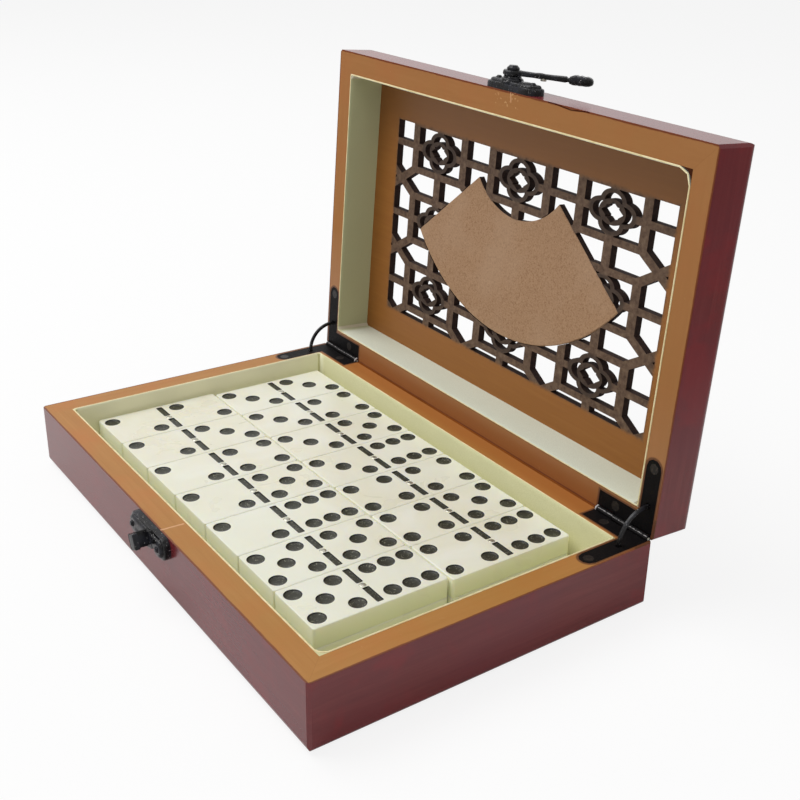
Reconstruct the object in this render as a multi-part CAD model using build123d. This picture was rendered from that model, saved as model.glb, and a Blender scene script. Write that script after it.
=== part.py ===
from build123d import *
import math
import os

# Domino storage box: mitred tray and lid, cut lattice panel, two stop hinges with
# curved stays, a swing latch and 28 loose tiles. Millimetres, +Z up.
# Origin: centre of the flat underside of the tray. X runs along the box, -Y is the
# latch side, +Y the hinge side. The lid is drawn closed and then turned open.

# ---------------------------------------------------------------- driving dimensions
BOX_W = 210.0            # length of the box, along X
BOX_D = 131.5            # depth of the box, along Y
BASE_H = 24.8            # height of the tray
LID_H = 18.2             # height of the lid
SEAM = 0.6               # gap between the two rims when closed
WALL = 8.8               # thickness of every wall
CORNER_CUT = 1.1         # bevel of the upright outer corners
BASE_EDGE_R = 3.0        # rounding under the tray
LID_EDGE_R = 4.2         # rounding of the lid's outer face
RIM_BEVEL = 0.15         # small bevel along the outer edge of each rim
LID_OPEN = 93.65         # opening angle at which the stays stop the lid

BOTTOM_T = 3.0           # board under the tray
BOTTOM_REBATE = 3.5      # how far that board goes into the walls
FELT_T = 0.8             # felt on the floor
LINER_T = 0.9            # flocked card strip
LINER_PROUD = 0.2        # how far the strip stands above the rim
BASE_LINER_R = 4.0       # inner corners of the tray, which its strip follows
LID_LINER_R = 4.6        # inner corners of the lid
FIT = 0.05               # clearance round let-in boards

PANEL_T = 3.0            # lattice board
PANEL_REBATE = 3.5       # how far that board goes into the lid walls
WINDOW_X = 80.1          # half length of the cut area
WINDOW_FRONT = -40.8     # cut area towards the latch
WINDOW_BACK = 42.0       # cut area towards the hinges
CELL_X = 50.5            # spacing of the rosettes along X
CELL_Y = 30.2            # spacing of the rosettes along Y
ROW_Y = -1.6             # middle row of rosettes
FRAME_X = 16.3           # half width of the frame round a rosette, to the bar's centre
FRAME_Y = 9.6            # half height of that frame
BAR_X = 4.2              # width of the upright bars
BAR_Y = 2.75             # width of the level bars
BAR_DIAG = 3.4           # width of the diagonal bars
STRETCH = 1.45           # rosettes are wider than tall by this ratio
LOBE_R = 4.4             # rosette lobe, across Y
LOBE_OFF = 3.75          # rosette lobe centre, across Y
RIBBON = 1.45            # width of the rosette's outer ribbon
RING_R = 4.55            # outside of the rosette's inner ring
STAR_TIP = 3.7           # points of the star opening
STAR_SIDE = 2.15         # half side of the square part of the star opening

FAN_Y = -47.5            # centre of the fan's arcs
FAN_IN = 30.5            # radius of the small arc
FAN_OUT = 77.5           # radius of the wide arc
FAN_HALF = 50.6          # half of the fan's angle, in degrees

LEAF_T = 1.0             # hinge leaf thickness
LEAF_EDGE = 1.5          # leaf's outer edge, in from the side face
LEAF_BACK = 1.7          # leaf's back edge, in from the back face and short of the barrel
LEAF_LONG = 25.5         # length of the leaf's back leg
LEAF_WIDE = 5.45         # width of the back leg
ARM_W = 6.5              # width of the leaf's side arm
ARM_LONG = 26.25         # leaf's back edge to the rounded tip of its side arm
MORTISE_FIT = 0.1        # clearance round a let-in leaf
BARREL_R = 1.3           # hinge barrel
PIN_R = 0.55             # hinge pin
BORE_FIT = 0.05          # radial clearance of the pin
HINGE_IN = 0.2           # hinge line, in from the back face
KNUCKLE_GAP = 0.2        # gap between knuckles
SCREW_HEAD_R = 1.9       # countersunk head
SCREW_R = 0.95           # screw shank
SCREW_L = 6.0            # screw length
SCREW_FIT = 0.02         # clearance round a screw or nail

STAY_R = 11.0            # centre line of the curved stay
STAY_W = 1.2             # radial width of the stay
STAY_T = 1.1             # thickness of the stay
STAY_HEAD_T = 2.4        # thickness of its stop heads
STAY_HEAD = 4.4          # length of a stop head, in degrees
STAY_FIT = 0.4           # room round the stay in slots and pockets
POCKET_DOWN = 62.0       # how far a pocket follows the stay into the wall, in degrees

CATCH_X = 3.2            # middle of the catch plate along the front
CATCH_L = 27.4           # length of the catch plate
LID_PLATE_X = 5.5        # middle of the lid's plate along the front
LID_PLATE_L = 26.1       # length of the lid's plate
PLATE_H = 8.4            # height of a latch plate
PLATE_T = 3.4            # thickness of a latch plate
PLATE_STEP = 1.0         # step in from its outline to the raised middle
PIVOT_X = 3.1            # arm pivot along the front
PIVOT_H = 4.6            # arm pivot above the lid's rim
ARM_REACH = 29.5         # pivot to the tip of the arm
ARM_BAR_W = 2.4          # width of the arm's bar
ARM_BAR_T = 1.9          # thickness of the arm's bar
ARM_OFF = 5.0            # underside of the bar, out from the front face
EYE_R = 3.6              # eye of the arm
RIVET_R = 1.5            # rivet shank
RIVET_CAP_R = 2.3        # rivet cap
GRIP_L = 8.5             # grip at the arm's end
ARM_ANGLE = 32.0         # arm above level in the photo's pose
LATCHED_ANGLE = -65.8    # arm below level when hooked
HOOK_L = 5.6             # length of the hook along the hooked arm
HOOK_START = 6.2         # pivot to the near end of the hook
HOOK_OUT = 9.0           # hook lip's outer face, out from the front face
HOOK_WALL = 1.3          # thickness of the hook's side

ROW_TILES = 7            # tiles in a row
TILE_FIT = 0.15          # gap between neighbours in a row
TILE_T = 7.35            # tile thickness
TILE_BEVEL = 0.55        # tile edges
PIP_DEEP = 0.7           # depth of a pip
PIP_SIDE = 4.725         # pip columns, in from the tile's long edges
PIP_NEAR = 6.5           # first pip row from the divider
PIP_END = 4.1            # last pip row, in from the tile's end
PIP_GAP = 1.05           # between pips of neighbouring rows
BAR_SIDE = 1.525         # end of the divider, in from the tile's long edge
BAR_GROOVE_W = 2.5       # divider width
BAR_GROOVE_GAP = 3.0     # gap in the divider at the tile's middle
GROOVE_DEEP = 0.4        # depth of the divider
FRONT_ROW_GAP_X = 2.6    # left wall to the front row
FRONT_ROW_SPARE = 19.15  # front row to the right wall
BACK_ROW_GAP_X = 4.3     # left wall to the back row
FRONT_ROW_GAP_Y = 9.15   # front wall to the front row
BACK_ROW_GAP_Y = 3.85    # back wall to the back row
BETWEEN_ROWS = 0.5       # front row to the back row

# ---------------------------------------------------------------- derived positions
HALF_W = BOX_W / 2
HALF_D = BOX_D / 2
IN_W = HALF_W - WALL
IN_D = HALF_D - WALL
LID_Z = BASE_H + SEAM
PANEL_Z = LID_Z + LID_H - PANEL_T
HINGE_Y = HALF_D - HINGE_IN
HINGE_Z = BASE_H + SEAM / 2
HINGE_LINE = Axis((0, HINGE_Y, HINGE_Z), (1, 0, 0))
LEAF_OUT_X = HALF_W - LEAF_EDGE
LEAF_IN_X = LEAF_OUT_X - LEAF_LONG
LEAF_BACK_Y = HALF_D - LEAF_BACK
LEAF_FRONT_Y = LEAF_BACK_Y - LEAF_WIDE
ARM_END_Y = LEAF_BACK_Y - ARM_LONG
ARM_X = LEAF_OUT_X - ARM_W / 2
TILE_PITCH = (2 * IN_W - FRONT_ROW_GAP_X - FRONT_ROW_SPARE + TILE_FIT) / ROW_TILES
TILE_W = TILE_PITCH - TILE_FIT
TILE_L = (2 * IN_D - FRONT_ROW_GAP_Y - BACK_ROW_GAP_Y - BETWEEN_ROWS) / 2
PIP_X = TILE_W / 2 - PIP_SIDE
PIP_STEP = (TILE_L / 2 - PIP_NEAR - PIP_END) / 2
PIP_R = (PIP_STEP - PIP_GAP) / 2
BAR_GROOVE_L = (TILE_W - BAR_GROOVE_GAP) / 2 - BAR_SIDE
FRONT_ROW_X = -IN_W + FRONT_ROW_GAP_X
BACK_ROW_X = -IN_W + BACK_ROW_GAP_X
FRONT_ROW_Y = -IN_D + FRONT_ROW_GAP_Y + TILE_L / 2
BACK_ROW_Y = IN_D - BACK_ROW_GAP_Y - TILE_L / 2
PIVOT_Z = LID_Z + PIVOT_H
FLOOR_Z = BOTTOM_T + FELT_T

# Small rounds that repeat have flat sides, which keeps the part light.
PIP_SIDES = 8
SCREW_SIDES = 8
OVAL_SIDES = 10
CORNER_FACETS = 3
LOBE_SIDES = 14

os.makedirs("parts", exist_ok=True)


def save(name, shape):
    shape.label = name
    export_step(shape, "parts/" + name + ".step")


def opened(shape):
    """Turn a piece of the lid from the closed to the open pose."""
    return shape.rotate(HINGE_LINE, -LID_OPEN)


def block(x0, x1, y0, y1, z0, z1):
    middle = Pos((x0 + x1) / 2, (y0 + y1) / 2, (z0 + z1) / 2)
    return middle * Box(abs(x1 - x0), abs(y1 - y0), abs(z1 - z0))


def rod_x(radius, x0, x1, y, z):
    return Pos((x0 + x1) / 2, y, z) * Rot(0, 90, 0) * Cylinder(radius, abs(x1 - x0))


def rod_y(radius, y0, y1, x, z):
    return Pos(x, (y0 + y1) / 2, z) * Rot(90, 0, 0) * Cylinder(radius, abs(y1 - y0))


def peg(radius, height, sides):
    """Upright many-sided peg, its middle at the origin."""
    return extrude(RegularPolygon(radius, sides), height / 2, both=True)


def peg_x(radius, x0, x1, y, z, sides=LOBE_SIDES):
    return Pos((x0 + x1) / 2, y, z) * Rot(0, 90, 0) * peg(radius, abs(x1 - x0), sides)


def peg_y(radius, y0, y1, x, z, sides=SCREW_SIDES):
    return Pos(x, (y0 + y1) / 2, z) * Rot(90, 0, 0) * peg(radius, abs(y1 - y0), sides)


def spike(radius, depth, sides):
    """Many-sided point: its wide end at the origin, its tip below."""
    return loft([RegularPolygon(radius, sides).face(), Vertex(0, 0, -depth)])


def flare(r_low, r_top, height, sides):
    """Many-sided plug that widens upwards from the origin."""
    turns = [2 * math.pi * k / sides for k in range(sides)]
    low = [(r_low * math.cos(a), r_low * math.sin(a), 0) for a in turns]
    top = [(r_top * math.cos(a), r_top * math.sin(a), height) for a in turns]
    loops = [low, top]
    for k in range(sides):
        n = (k + 1) % sides
        loops.append([low[k], low[n], top[n], top[k]])
    return Solid(Shell([Face(Wire.make_polygon(loop)) for loop in loops]))


def mirrored(shape, side):
    """side +1 keeps the right-hand piece, -1 gives the left-hand one."""
    return shape if side > 0 else shape.mirror(Plane.YZ)


# ---------------------------------------------------------------- tray and lid walls
def soft_rectangle(half_x, half_y, radius):
    """Rectangle whose corners are turned in three short facets."""
    pts = []
    for sx, sy, start in ((1, -1, -90), (1, 1, 0), (-1, 1, 90), (-1, -1, 180)):
        for k in range(CORNER_FACETS + 1):
            a = math.radians(start + 90 * k / CORNER_FACETS)
            x = sx * (half_x - radius) + radius * math.cos(a)
            y = sy * (half_y - radius) + radius * math.sin(a)
            pts.append((x, y))
    return make_face(Polyline(*pts, close=True))


def wall_ring(z0, height, round_top, edge_r, inner_r):
    """One-piece ring of wall, later sawn into four mitred walls."""
    outer = block(-HALF_W, HALF_W, -HALF_D, HALF_D, z0, z0 + height)
    ends = outer.edges().group_by(Axis.Z)
    outer = fillet(ends[-1] if round_top else ends[0], edge_r)
    ends = outer.edges().group_by(Axis.Z)
    outer = chamfer(ends[0] if round_top else ends[-1], RIM_BEVEL)
    footprint = Rectangle(BOX_W, BOX_D)
    footprint = chamfer(footprint.vertices(), CORNER_CUT)
    outer &= Pos(0, 0, z0) * extrude(footprint, height)
    hollow = extrude(soft_rectangle(IN_W, IN_D, inner_r), height + 2)
    return outer - Pos(0, 0, z0 - 1) * hollow


def mitre_wedge(side):
    """Prism that keeps one side of a ring, cut at 45 degrees through the corners."""
    over = 4.0
    ridge = HALF_W - HALF_D
    if side in ("front", "back"):
        s = -1 if side == "front" else 1
        far = (HALF_W + over, s * (HALF_D + over))
        near = (ridge, 0)
        pts = [(-far[0], far[1]), far, near, (-near[0], 0)]
    else:
        s = -1 if side == "left" else 1
        pts = [
            (s * (HALF_W + over), -HALF_D - over),
            (s * (HALF_W + over), HALF_D + over),
            (s * ridge, 0),
        ]
    return extrude(make_face(Polyline(*pts, close=True)), 120)


def leaf_outline(fit):
    """L-shaped hinge leaf seen from above, right-hand side."""
    back_leg = Pos((LEAF_IN_X + LEAF_OUT_X) / 2, (LEAF_FRONT_Y + LEAF_BACK_Y) / 2)
    leg = back_leg * Rectangle(
        LEAF_OUT_X - LEAF_IN_X + 2 * fit, LEAF_BACK_Y - LEAF_FRONT_Y + 2 * fit
    )
    tip_y = ARM_END_Y + ARM_W / 2
    arm = Pos(ARM_X, (tip_y + LEAF_BACK_Y) / 2) * Rectangle(
        ARM_W + 2 * fit, LEAF_BACK_Y - tip_y + 2 * fit
    )
    tip = Pos(ARM_X, tip_y) * RegularPolygon(ARM_W / 2 + fit, OVAL_SIDES)
    return leg + arm + tip


SCREW_SPOTS = [(ARM_X, ARM_END_Y + ARM_W / 2), (LEAF_IN_X + 8.0, (LEAF_FRONT_Y + LEAF_BACK_Y) / 2)]


def base_screw(x, y, grow):
    """Countersunk screw in the tray's rim; grow widens it into the hole that it fits."""
    top = BASE_H - 0.06
    head_r = SCREW_HEAD_R + grow
    shank_r = SCREW_R + grow
    length = SCREW_L + grow
    deep = head_r - shank_r
    head = Pos(x, y, top - deep) * flare(shank_r, head_r, deep, SCREW_SIDES)
    shank = Pos(x, y, top - (length + deep) / 2) * peg(shank_r, length - deep, SCREW_SIDES)
    if grow:
        head += Pos(x, y, top + 0.5) * peg(head_r, 1.0, SCREW_SIDES)
    return head + shank


def arc_band(r0, r1, a0, a1, thick):
    """Ring sector about the hinge line, in a plane across X. Angles from -Y, up positive."""
    ring = Circle(r1) - Circle(r0)
    reach = 3 * r1
    pts = [(0, 0)]
    steps = 4
    for k in range(steps + 1):
        a = math.radians(a0 + (a1 - a0) * k / steps)
        pts.append((-reach * math.cos(a), reach * math.sin(a)))
    sector = ring & make_face(Polyline(*pts, close=True))
    across = Plane(origin=(ARM_X, HINGE_Y, HINGE_Z), x_dir=(0, 1, 0), z_dir=(1, 0, 0))
    return extrude(across * sector, thick / 2, both=True)


def stay_pocket():
    """Curved pocket under the leaf, in the tray's side wall."""
    r0 = STAY_R - STAY_W / 2 - STAY_FIT
    r1 = STAY_R + STAY_W / 2 + STAY_FIT
    return arc_band(r0, r1, -POCKET_DOWN, 0.5, STAY_HEAD_T + 2 * STAY_FIT)


def hinge_cut():
    """What one right-hand hinge removes from the tray."""
    top = BASE_H + 1
    depth = LEAF_T + FIT
    leaf = Pos(0, 0, BASE_H - depth) * extrude(leaf_outline(MORTISE_FIT), depth + 1)
    barrel = block(LEAF_IN_X - 0.2, LEAF_OUT_X, LEAF_BACK_Y - 0.3, HALF_D + 1, BASE_H - depth, top)
    cut = leaf + barrel + stay_pocket()
    for x, y in SCREW_SPOTS:
        cut += base_screw(x, y, SCREW_FIT)
    return cut


def flip_to_lid(shape):
    """Mirror a piece of the tray through the middle of the seam, up into the lid."""
    return shape.mirror(Plane.XY.offset(HINGE_Z))


base_cut = hinge_cut()
lid_cut = flip_to_lid(base_cut)

NAIL_INSET = 3.6
catch_bores = [CATCH_X + s * (CATCH_L / 2 - NAIL_INSET) for s in (-1, 1)]
lid_bores = [LID_PLATE_X + s * (LID_PLATE_L / 2 - NAIL_INSET) for s in (-1, 1)]
NAIL_R = 0.7
NAIL_IN = 5.0
BASE_NAIL_Z = BASE_H - 4.3
LID_NAIL_Z = LID_Z + 4.3

base_ring = wall_ring(0, BASE_H, False, BASE_EDGE_R, BASE_LINER_R)
rebate_x = IN_W + BOTTOM_REBATE
rebate_y = IN_D + BOTTOM_REBATE
base_ring -= block(-rebate_x, rebate_x, -rebate_y, rebate_y, -1, BOTTOM_T)
lid_ring = wall_ring(LID_Z, LID_H, True, LID_EDGE_R, LID_LINER_R)
panel_x = IN_W + PANEL_REBATE
panel_y = IN_D + PANEL_REBATE
lid_ring -= block(-panel_x, panel_x, -panel_y, panel_y, PANEL_Z, PANEL_Z + PANEL_T + 1)
for side in (1, -1):
    base_ring -= mirrored(base_cut, side)
    lid_ring -= mirrored(lid_cut, side)
for x in catch_bores:
    base_ring -= peg_y(NAIL_R + SCREW_FIT, -HALF_D - 1, -HALF_D + NAIL_IN, x, BASE_NAIL_Z)
for x in lid_bores:
    lid_ring -= peg_y(NAIL_R + SCREW_FIT, -HALF_D - 1, -HALF_D + NAIL_IN, x, LID_NAIL_Z)
rivet_bore_r = (RIVET_R + SCREW_FIT) / math.cos(math.pi / OVAL_SIDES)
lid_ring -= peg_y(rivet_bore_r, -HALF_D - 1, -HALF_D + NAIL_IN, PIVOT_X, PIVOT_Z, OVAL_SIDES)

for side in ("front", "back", "left", "right"):
    wedge = Pos(0, 0, -5) * mitre_wedge(side)
    save("base_wall_" + side, (base_ring & wedge).solid())
    save("lid_wall_" + side, opened((lid_ring & wedge).solid()))

# ---------------------------------------------------------------- boards, felt, liners
bottom = block(-rebate_x + FIT, rebate_x - FIT, -rebate_y + FIT, rebate_y - FIT, 0, BOTTOM_T)
save("base_bottom", bottom)


def liner(z0, z1, radius):
    """Flocked strip folded round the inside of the walls."""
    outer = soft_rectangle(IN_W - FIT, IN_D - FIT, radius - FIT)
    inner_fit = FIT + LINER_T
    inner = soft_rectangle(IN_W - inner_fit, IN_D - inner_fit, radius - inner_fit)
    return Pos(0, 0, z0) * extrude(outer - inner, z1 - z0)


save("base_liner", liner(BOTTOM_T, BASE_H + LINER_PROUD, BASE_LINER_R))
save("lid_liner", opened(liner(LID_Z - LINER_PROUD, PANEL_Z, LID_LINER_R)))
felt_fit = 2 * FIT + LINER_T
felt = soft_rectangle(IN_W - felt_fit, IN_D - felt_fit, BASE_LINER_R - felt_fit)
save("base_felt", Pos(0, 0, BOTTOM_T) * extrude(felt, FELT_T))


# ---------------------------------------------------------------- lattice and fan plaque
def oval(cx, cy, r):
    """Round of the rosette pattern, widened along X."""
    return Pos(cx * STRETCH, cy) * scale(RegularPolygon(r, OVAL_SIDES), by=(STRETCH, 1, 1))


COMPASS = [(1, 0), (0, 1), (-1, 0), (0, -1)]


def rosette_outline():
    shape = oval(0, 0, LOBE_R)
    for dx, dy in COMPASS:
        shape += oval(dx * LOBE_OFF, dy * LOBE_OFF, LOBE_R)
    return shape


def rosette():
    """Four-lobed flower: outer ribbon, inner ring, four crescents and a star opening."""
    shape = rosette_outline()
    for dx, dy in COMPASS:
        hole = oval(dx * LOBE_OFF, dy * LOBE_OFF, LOBE_R - RIBBON)
        shape -= hole - oval(0, 0, RING_R)
    diamond = [(dx * STAR_TIP * STRETCH, dy * STAR_TIP) for dx, dy in COMPASS]
    square = Rectangle(2 * STAR_SIDE * STRETCH, 2 * STAR_SIDE)
    return shape - (make_face(Polyline(*diamond, close=True)) + square)


def fan(grow):
    """Folding-fan sector: two radial sides, a small and a wide arc."""
    half = math.radians(FAN_HALF)
    tip_y = -grow / math.sin(half)
    reach = 1.6 * FAN_OUT
    side_x = reach * math.sin(half)
    side_y = tip_y + reach * math.cos(half)
    wedge = make_face(Polyline((0, tip_y), (side_x, side_y), (0, 2 * reach), (-side_x, side_y), close=True))
    sector = (Circle(FAN_OUT + grow) - Circle(FAN_IN - grow)) & wedge
    return Pos(0, FAN_Y) * sector


def bar(x0, y0, x1, y1, width):
    length = math.hypot(x1 - x0, y1 - y0)
    turn = math.degrees(math.atan2(y1 - y0, x1 - x0))
    return Pos((x0 + x1) / 2, (y0 + y1) / 2) * Rot(0, 0, turn) * Rectangle(length, width)


columns = [-CELL_X, 0.0, CELL_X]
rows = [ROW_Y - CELL_Y, ROW_Y, ROW_Y + CELL_Y]
reach_x = WINDOW_X + 2
bars = []
for cx in columns:
    bars.append(bar(cx, WINDOW_FRONT - 2, cx, WINDOW_BACK + 2, BAR_X))
    for cy in rows:
        for s in (-1, 1):
            up_x = cx + s * FRAME_X
            bars.append(bar(up_x, cy - FRAME_Y - BAR_Y / 2, up_x, cy + FRAME_Y + BAR_Y / 2, BAR_X))
            level_y = cy + s * FRAME_Y
            bars.append(bar(cx - FRAME_X, level_y, cx + FRAME_X, level_y, BAR_Y))
for cy in rows:
    bars.append(bar(-reach_x, cy, reach_x, cy, BAR_Y))
gap_x = CELL_X / 2 - FRAME_X
gap_y = CELL_Y / 2 - FRAME_Y
for i in range(4):
    kx = (i - 1.5) * CELL_X
    for j in range(3):
        ky = ROW_Y + (j - 0.5) * CELL_Y
        for s in (-1, 1):
            bars.append(bar(kx - gap_x, ky - s * gap_y, kx + gap_x, ky + s * gap_y, BAR_DIAG))

window = Pos(0, (WINDOW_FRONT + WINDOW_BACK) / 2) * Rectangle(2 * WINDOW_X, WINDOW_BACK - WINDOW_FRONT)
grid = Sketch() + bars
centres = [Pos(cx, cy) for cx in columns for cy in rows]
grid -= [c * rosette_outline() for c in centres]
grid = (grid & window) + [(c * rosette()) & window for c in centres]
panel_edge = Rectangle(2 * (panel_x - FIT), 2 * (panel_y - FIT))
lattice = (panel_edge - window) + grid - fan(FIT)
fretwork = Pos(0, 0, PANEL_Z) * extrude(lattice, PANEL_T)
if len(fretwork.solids()) > 1:
    print("loose bits of lattice:", sorted(round(s.volume, 2) for s in fretwork.solids()))
save("lid_fretwork", opened(fretwork.solids().sort_by(SortBy.VOLUME)[-1]))
plaque = Pos(0, 0, PANEL_Z) * extrude(fan(0), PANEL_T)
save("lid_fan_plaque", opened(plaque.solid()))

# ---------------------------------------------------------------- hinges and stays
barrel_x0 = LEAF_IN_X + 0.2
barrel_x1 = LEAF_OUT_X - 0.5
third = (barrel_x1 - barrel_x0) / 3


def knuckle(x0, x1):
    tab_z = BASE_H - LEAF_T - FIT
    tab = block(x0, x1, LEAF_BACK_Y - 0.2, HINGE_Y, tab_z, tab_z + LEAF_T)
    return tab + peg_x(BARREL_R, x0, x1, HINGE_Y, HINGE_Z, OVAL_SIDES)


def leaf(spans):
    """Leaf for the tray, right-hand side, with knuckles over the given spans."""
    plate = Pos(0, 0, BASE_H - LEAF_T - FIT) * extrude(leaf_outline(0), LEAF_T)
    slot_y0 = HINGE_Y - STAY_R - STAY_W / 2 - STAY_FIT
    slot_y1 = HINGE_Y - STAY_R + STAY_W / 2 + STAY_FIT
    half_slot = STAY_T / 2 + 0.25
    plate -= block(ARM_X - half_slot, ARM_X + half_slot, slot_y0, slot_y1, 0, BASE_H + 1)
    for x, y in SCREW_SPOTS:
        plate -= base_screw(x, y, SCREW_FIT)
    for x0, x1 in spans:
        plate += knuckle(x0, x1)
    bore_r = (PIN_R + BORE_FIT) / math.cos(math.pi / SCREW_SIDES)
    return plate - peg_x(bore_r, barrel_x0 - 1, barrel_x1 + 1, HINGE_Y, HINGE_Z, SCREW_SIDES)


outer_spans = [
    (barrel_x0, barrel_x0 + third - KNUCKLE_GAP / 2),
    (barrel_x1 - third + KNUCKLE_GAP / 2, barrel_x1),
]
middle_span = [(barrel_x0 + third + KNUCKLE_GAP / 2, barrel_x1 - third - KNUCKLE_GAP / 2)]
base_leaf = leaf(outer_spans)
lid_leaf = flip_to_lid(leaf(middle_span))
pin = rod_x(PIN_R, barrel_x0, barrel_x1, HINGE_Y, HINGE_Z)

leaf_under = math.degrees(math.asin((LEAF_T + FIT + SEAM / 2) / STAY_R))
head_at = leaf_under + 0.9
stay_end = head_at + STAY_HEAD
stay = arc_band(STAY_R - STAY_W / 2, STAY_R + STAY_W / 2, -stay_end, LID_OPEN + stay_end, STAY_T)
for a0, a1 in ((-stay_end, -head_at), (LID_OPEN + head_at, LID_OPEN + stay_end)):
    stay += arc_band(STAY_R - STAY_W / 2, STAY_R + STAY_W / 2, a0, a1, STAY_HEAD_T)

for side, word in ((1, "right"), (-1, "left")):
    save("hinge_" + word + "_base_leaf", mirrored(base_leaf, side).solid())
    save("hinge_" + word + "_lid_leaf", opened(mirrored(lid_leaf, side).solid()))
    save("hinge_" + word + "_pin", mirrored(pin, side))
    save("hinge_" + word + "_stay", mirrored(stay, side).solid())

screws = []
for side in (1, -1):
    for x, y in SCREW_SPOTS:
        screws.append(mirrored(base_screw(x, y, 0), side))
save("hinge_screws_base", Compound(screws))
save("hinge_screws_lid", opened(Compound([flip_to_lid(s) for s in screws])))


# ---------------------------------------------------------------- latch
def front_plane(out):
    """Sketch plane parallel to the front face, out from it: x along X, y up."""
    return Plane(origin=(0, -HALF_D - out, 0), x_dir=(1, 0, 0), z_dir=(0, -1, 0))


def plate_outline(length, shrink):
    """Bow-shaped plate hanging from its straight edge: two end lobes and a middle one."""
    half = length / 2 - shrink
    deep = PLATE_H - shrink
    lobe = 4.6 - shrink
    top = -0.3 - shrink
    band = Pos(0, (top - deep + 2.4) / 2) * Rectangle(2 * half - 2.5, deep - 2.4 + top)
    shape = band
    for s in (-1, 1):
        shape += Pos(s * (half - lobe), -deep + lobe) * RegularPolygon(lobe, LOBE_SIDES)
        shape += Pos(s * (half - lobe), (top - deep + lobe) / 2) * Rectangle(2 * lobe, deep - lobe + top)
    shape += Pos(0, -deep + 2.6) * RegularPolygon(4.0 - shrink, LOBE_SIDES)
    keep = Pos(0, top - PLATE_H) * Rectangle(2 * half, 2 * PLATE_H)
    return shape & keep


def plate_solid(length):
    """Cast plate with a stepped face."""
    low = extrude(front_plane(0) * plate_outline(length, 0), 0.6 * PLATE_T)
    high = extrude(front_plane(0) * plate_outline(length, PLATE_STEP), PLATE_T)
    return low + high


def nail(x, z):
    shank = peg_y(NAIL_R, -HALF_D - PLATE_T, -HALF_D + NAIL_IN - 0.2, x, z)
    dome = Pos(x, -HALF_D - PLATE_T - 0.7, z) * Rot(-90, 0, 0) * flare(0.7, 1.3, 0.7, SCREW_SIDES)
    return shank + dome


catch = Pos(CATCH_X, 0, BASE_H) * plate_solid(CATCH_L)
lid_plate = Pos(LID_PLATE_X, 0, LID_Z) * plate_solid(LID_PLATE_L).mirror(Plane.XY)
boss_top = ARM_OFF - 0.1
boss = peg_y(EYE_R + 0.5, -HALF_D - PLATE_T - 0.5, -HALF_D, PIVOT_X, PIVOT_Z, LOBE_SIDES)
boss += peg_y(EYE_R - 0.3, -HALF_D - boss_top, -HALF_D, PIVOT_X, PIVOT_Z, LOBE_SIDES)
rib = peg_y(2.3, -HALF_D - PLATE_T - 0.35, -HALF_D, LID_PLATE_X + 5.6, LID_Z + 4.0)
lid_plate = lid_plate + boss + rib
lid_floor = block(-HALF_W, HALF_W, -HALF_D - 20, -HALF_D, LID_Z + 0.25, LID_Z + LID_H)
lid_plate = lid_plate & lid_floor
for x in catch_bores:
    catch -= peg_y(NAIL_R + SCREW_FIT, -HALF_D - 9, -HALF_D + 1, x, BASE_NAIL_Z)
for x in lid_bores:
    lid_plate -= peg_y(NAIL_R + SCREW_FIT, -HALF_D - 9, -HALF_D + 1, x, LID_NAIL_Z)
lid_plate -= peg_y(rivet_bore_r, -HALF_D - 9, -HALF_D + 1, PIVOT_X, PIVOT_Z, OVAL_SIDES)

# The hook is drawn along the hooked arm: u runs from the pivot down the arm, v across it,
# and its open side faces the side that the arm swings in from.
HOOK_TURN = Pos(PIVOT_X, 0, PIVOT_Z) * Rot(0, -LATCHED_ANGLE, 0)


def along_arm(u0, u1, v0, v1, out0, out1):
    return block(u0, u1, -HALF_D - out1, -HALF_D - out0, v0, v1)


half_bar = ARM_BAR_W / 2
channel = half_bar + 0.3
hook_u1 = HOOK_START + HOOK_L
lip_in = ARM_OFF + ARM_BAR_T + 0.35
cheek = along_arm(HOOK_START, hook_u1, -channel - HOOK_WALL, -channel, 0.5, HOOK_OUT)
lip = along_arm(HOOK_START, hook_u1, -channel - HOOK_WALL, half_bar + 0.5, lip_in, HOOK_OUT)
lip = chamfer(lip.edges().filter_by(Axis.X).group_by(Axis.Y)[0], 0.5)
seat_u0 = HOOK_START + 0.4
seat = along_arm(seat_u0, hook_u1, -channel - HOOK_WALL, half_bar + 0.5, 0, PLATE_T - 0.1)
catch = catch + HOOK_TURN * (cheek + lip + seat)
catch_ceiling = block(-HALF_W, HALF_W, -HALF_D - 20, -HALF_D, 0, BASE_H - 0.25)
catch = catch & catch_ceiling
save("latch_catch", catch.solid())
save("latch_lid_plate", opened(lid_plate.solid()))

rivet = rod_y(RIVET_R, -HALF_D - ARM_OFF - ARM_BAR_T - 0.3, -HALF_D + 4, PIVOT_X, PIVOT_Z)
cap_y = -HALF_D - ARM_OFF - ARM_BAR_T - 0.1
cap = peg_y(RIVET_CAP_R, cap_y - 0.6, cap_y, PIVOT_X, PIVOT_Z, LOBE_SIDES)
crown = flare(RIVET_CAP_R - 0.9, RIVET_CAP_R, 0.9, LOBE_SIDES)
cap += Pos(PIVOT_X, cap_y - 1.5, PIVOT_Z) * Rot(-90, 0, 0) * crown
save("latch_rivet", opened((rivet + cap).solid()))

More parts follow.
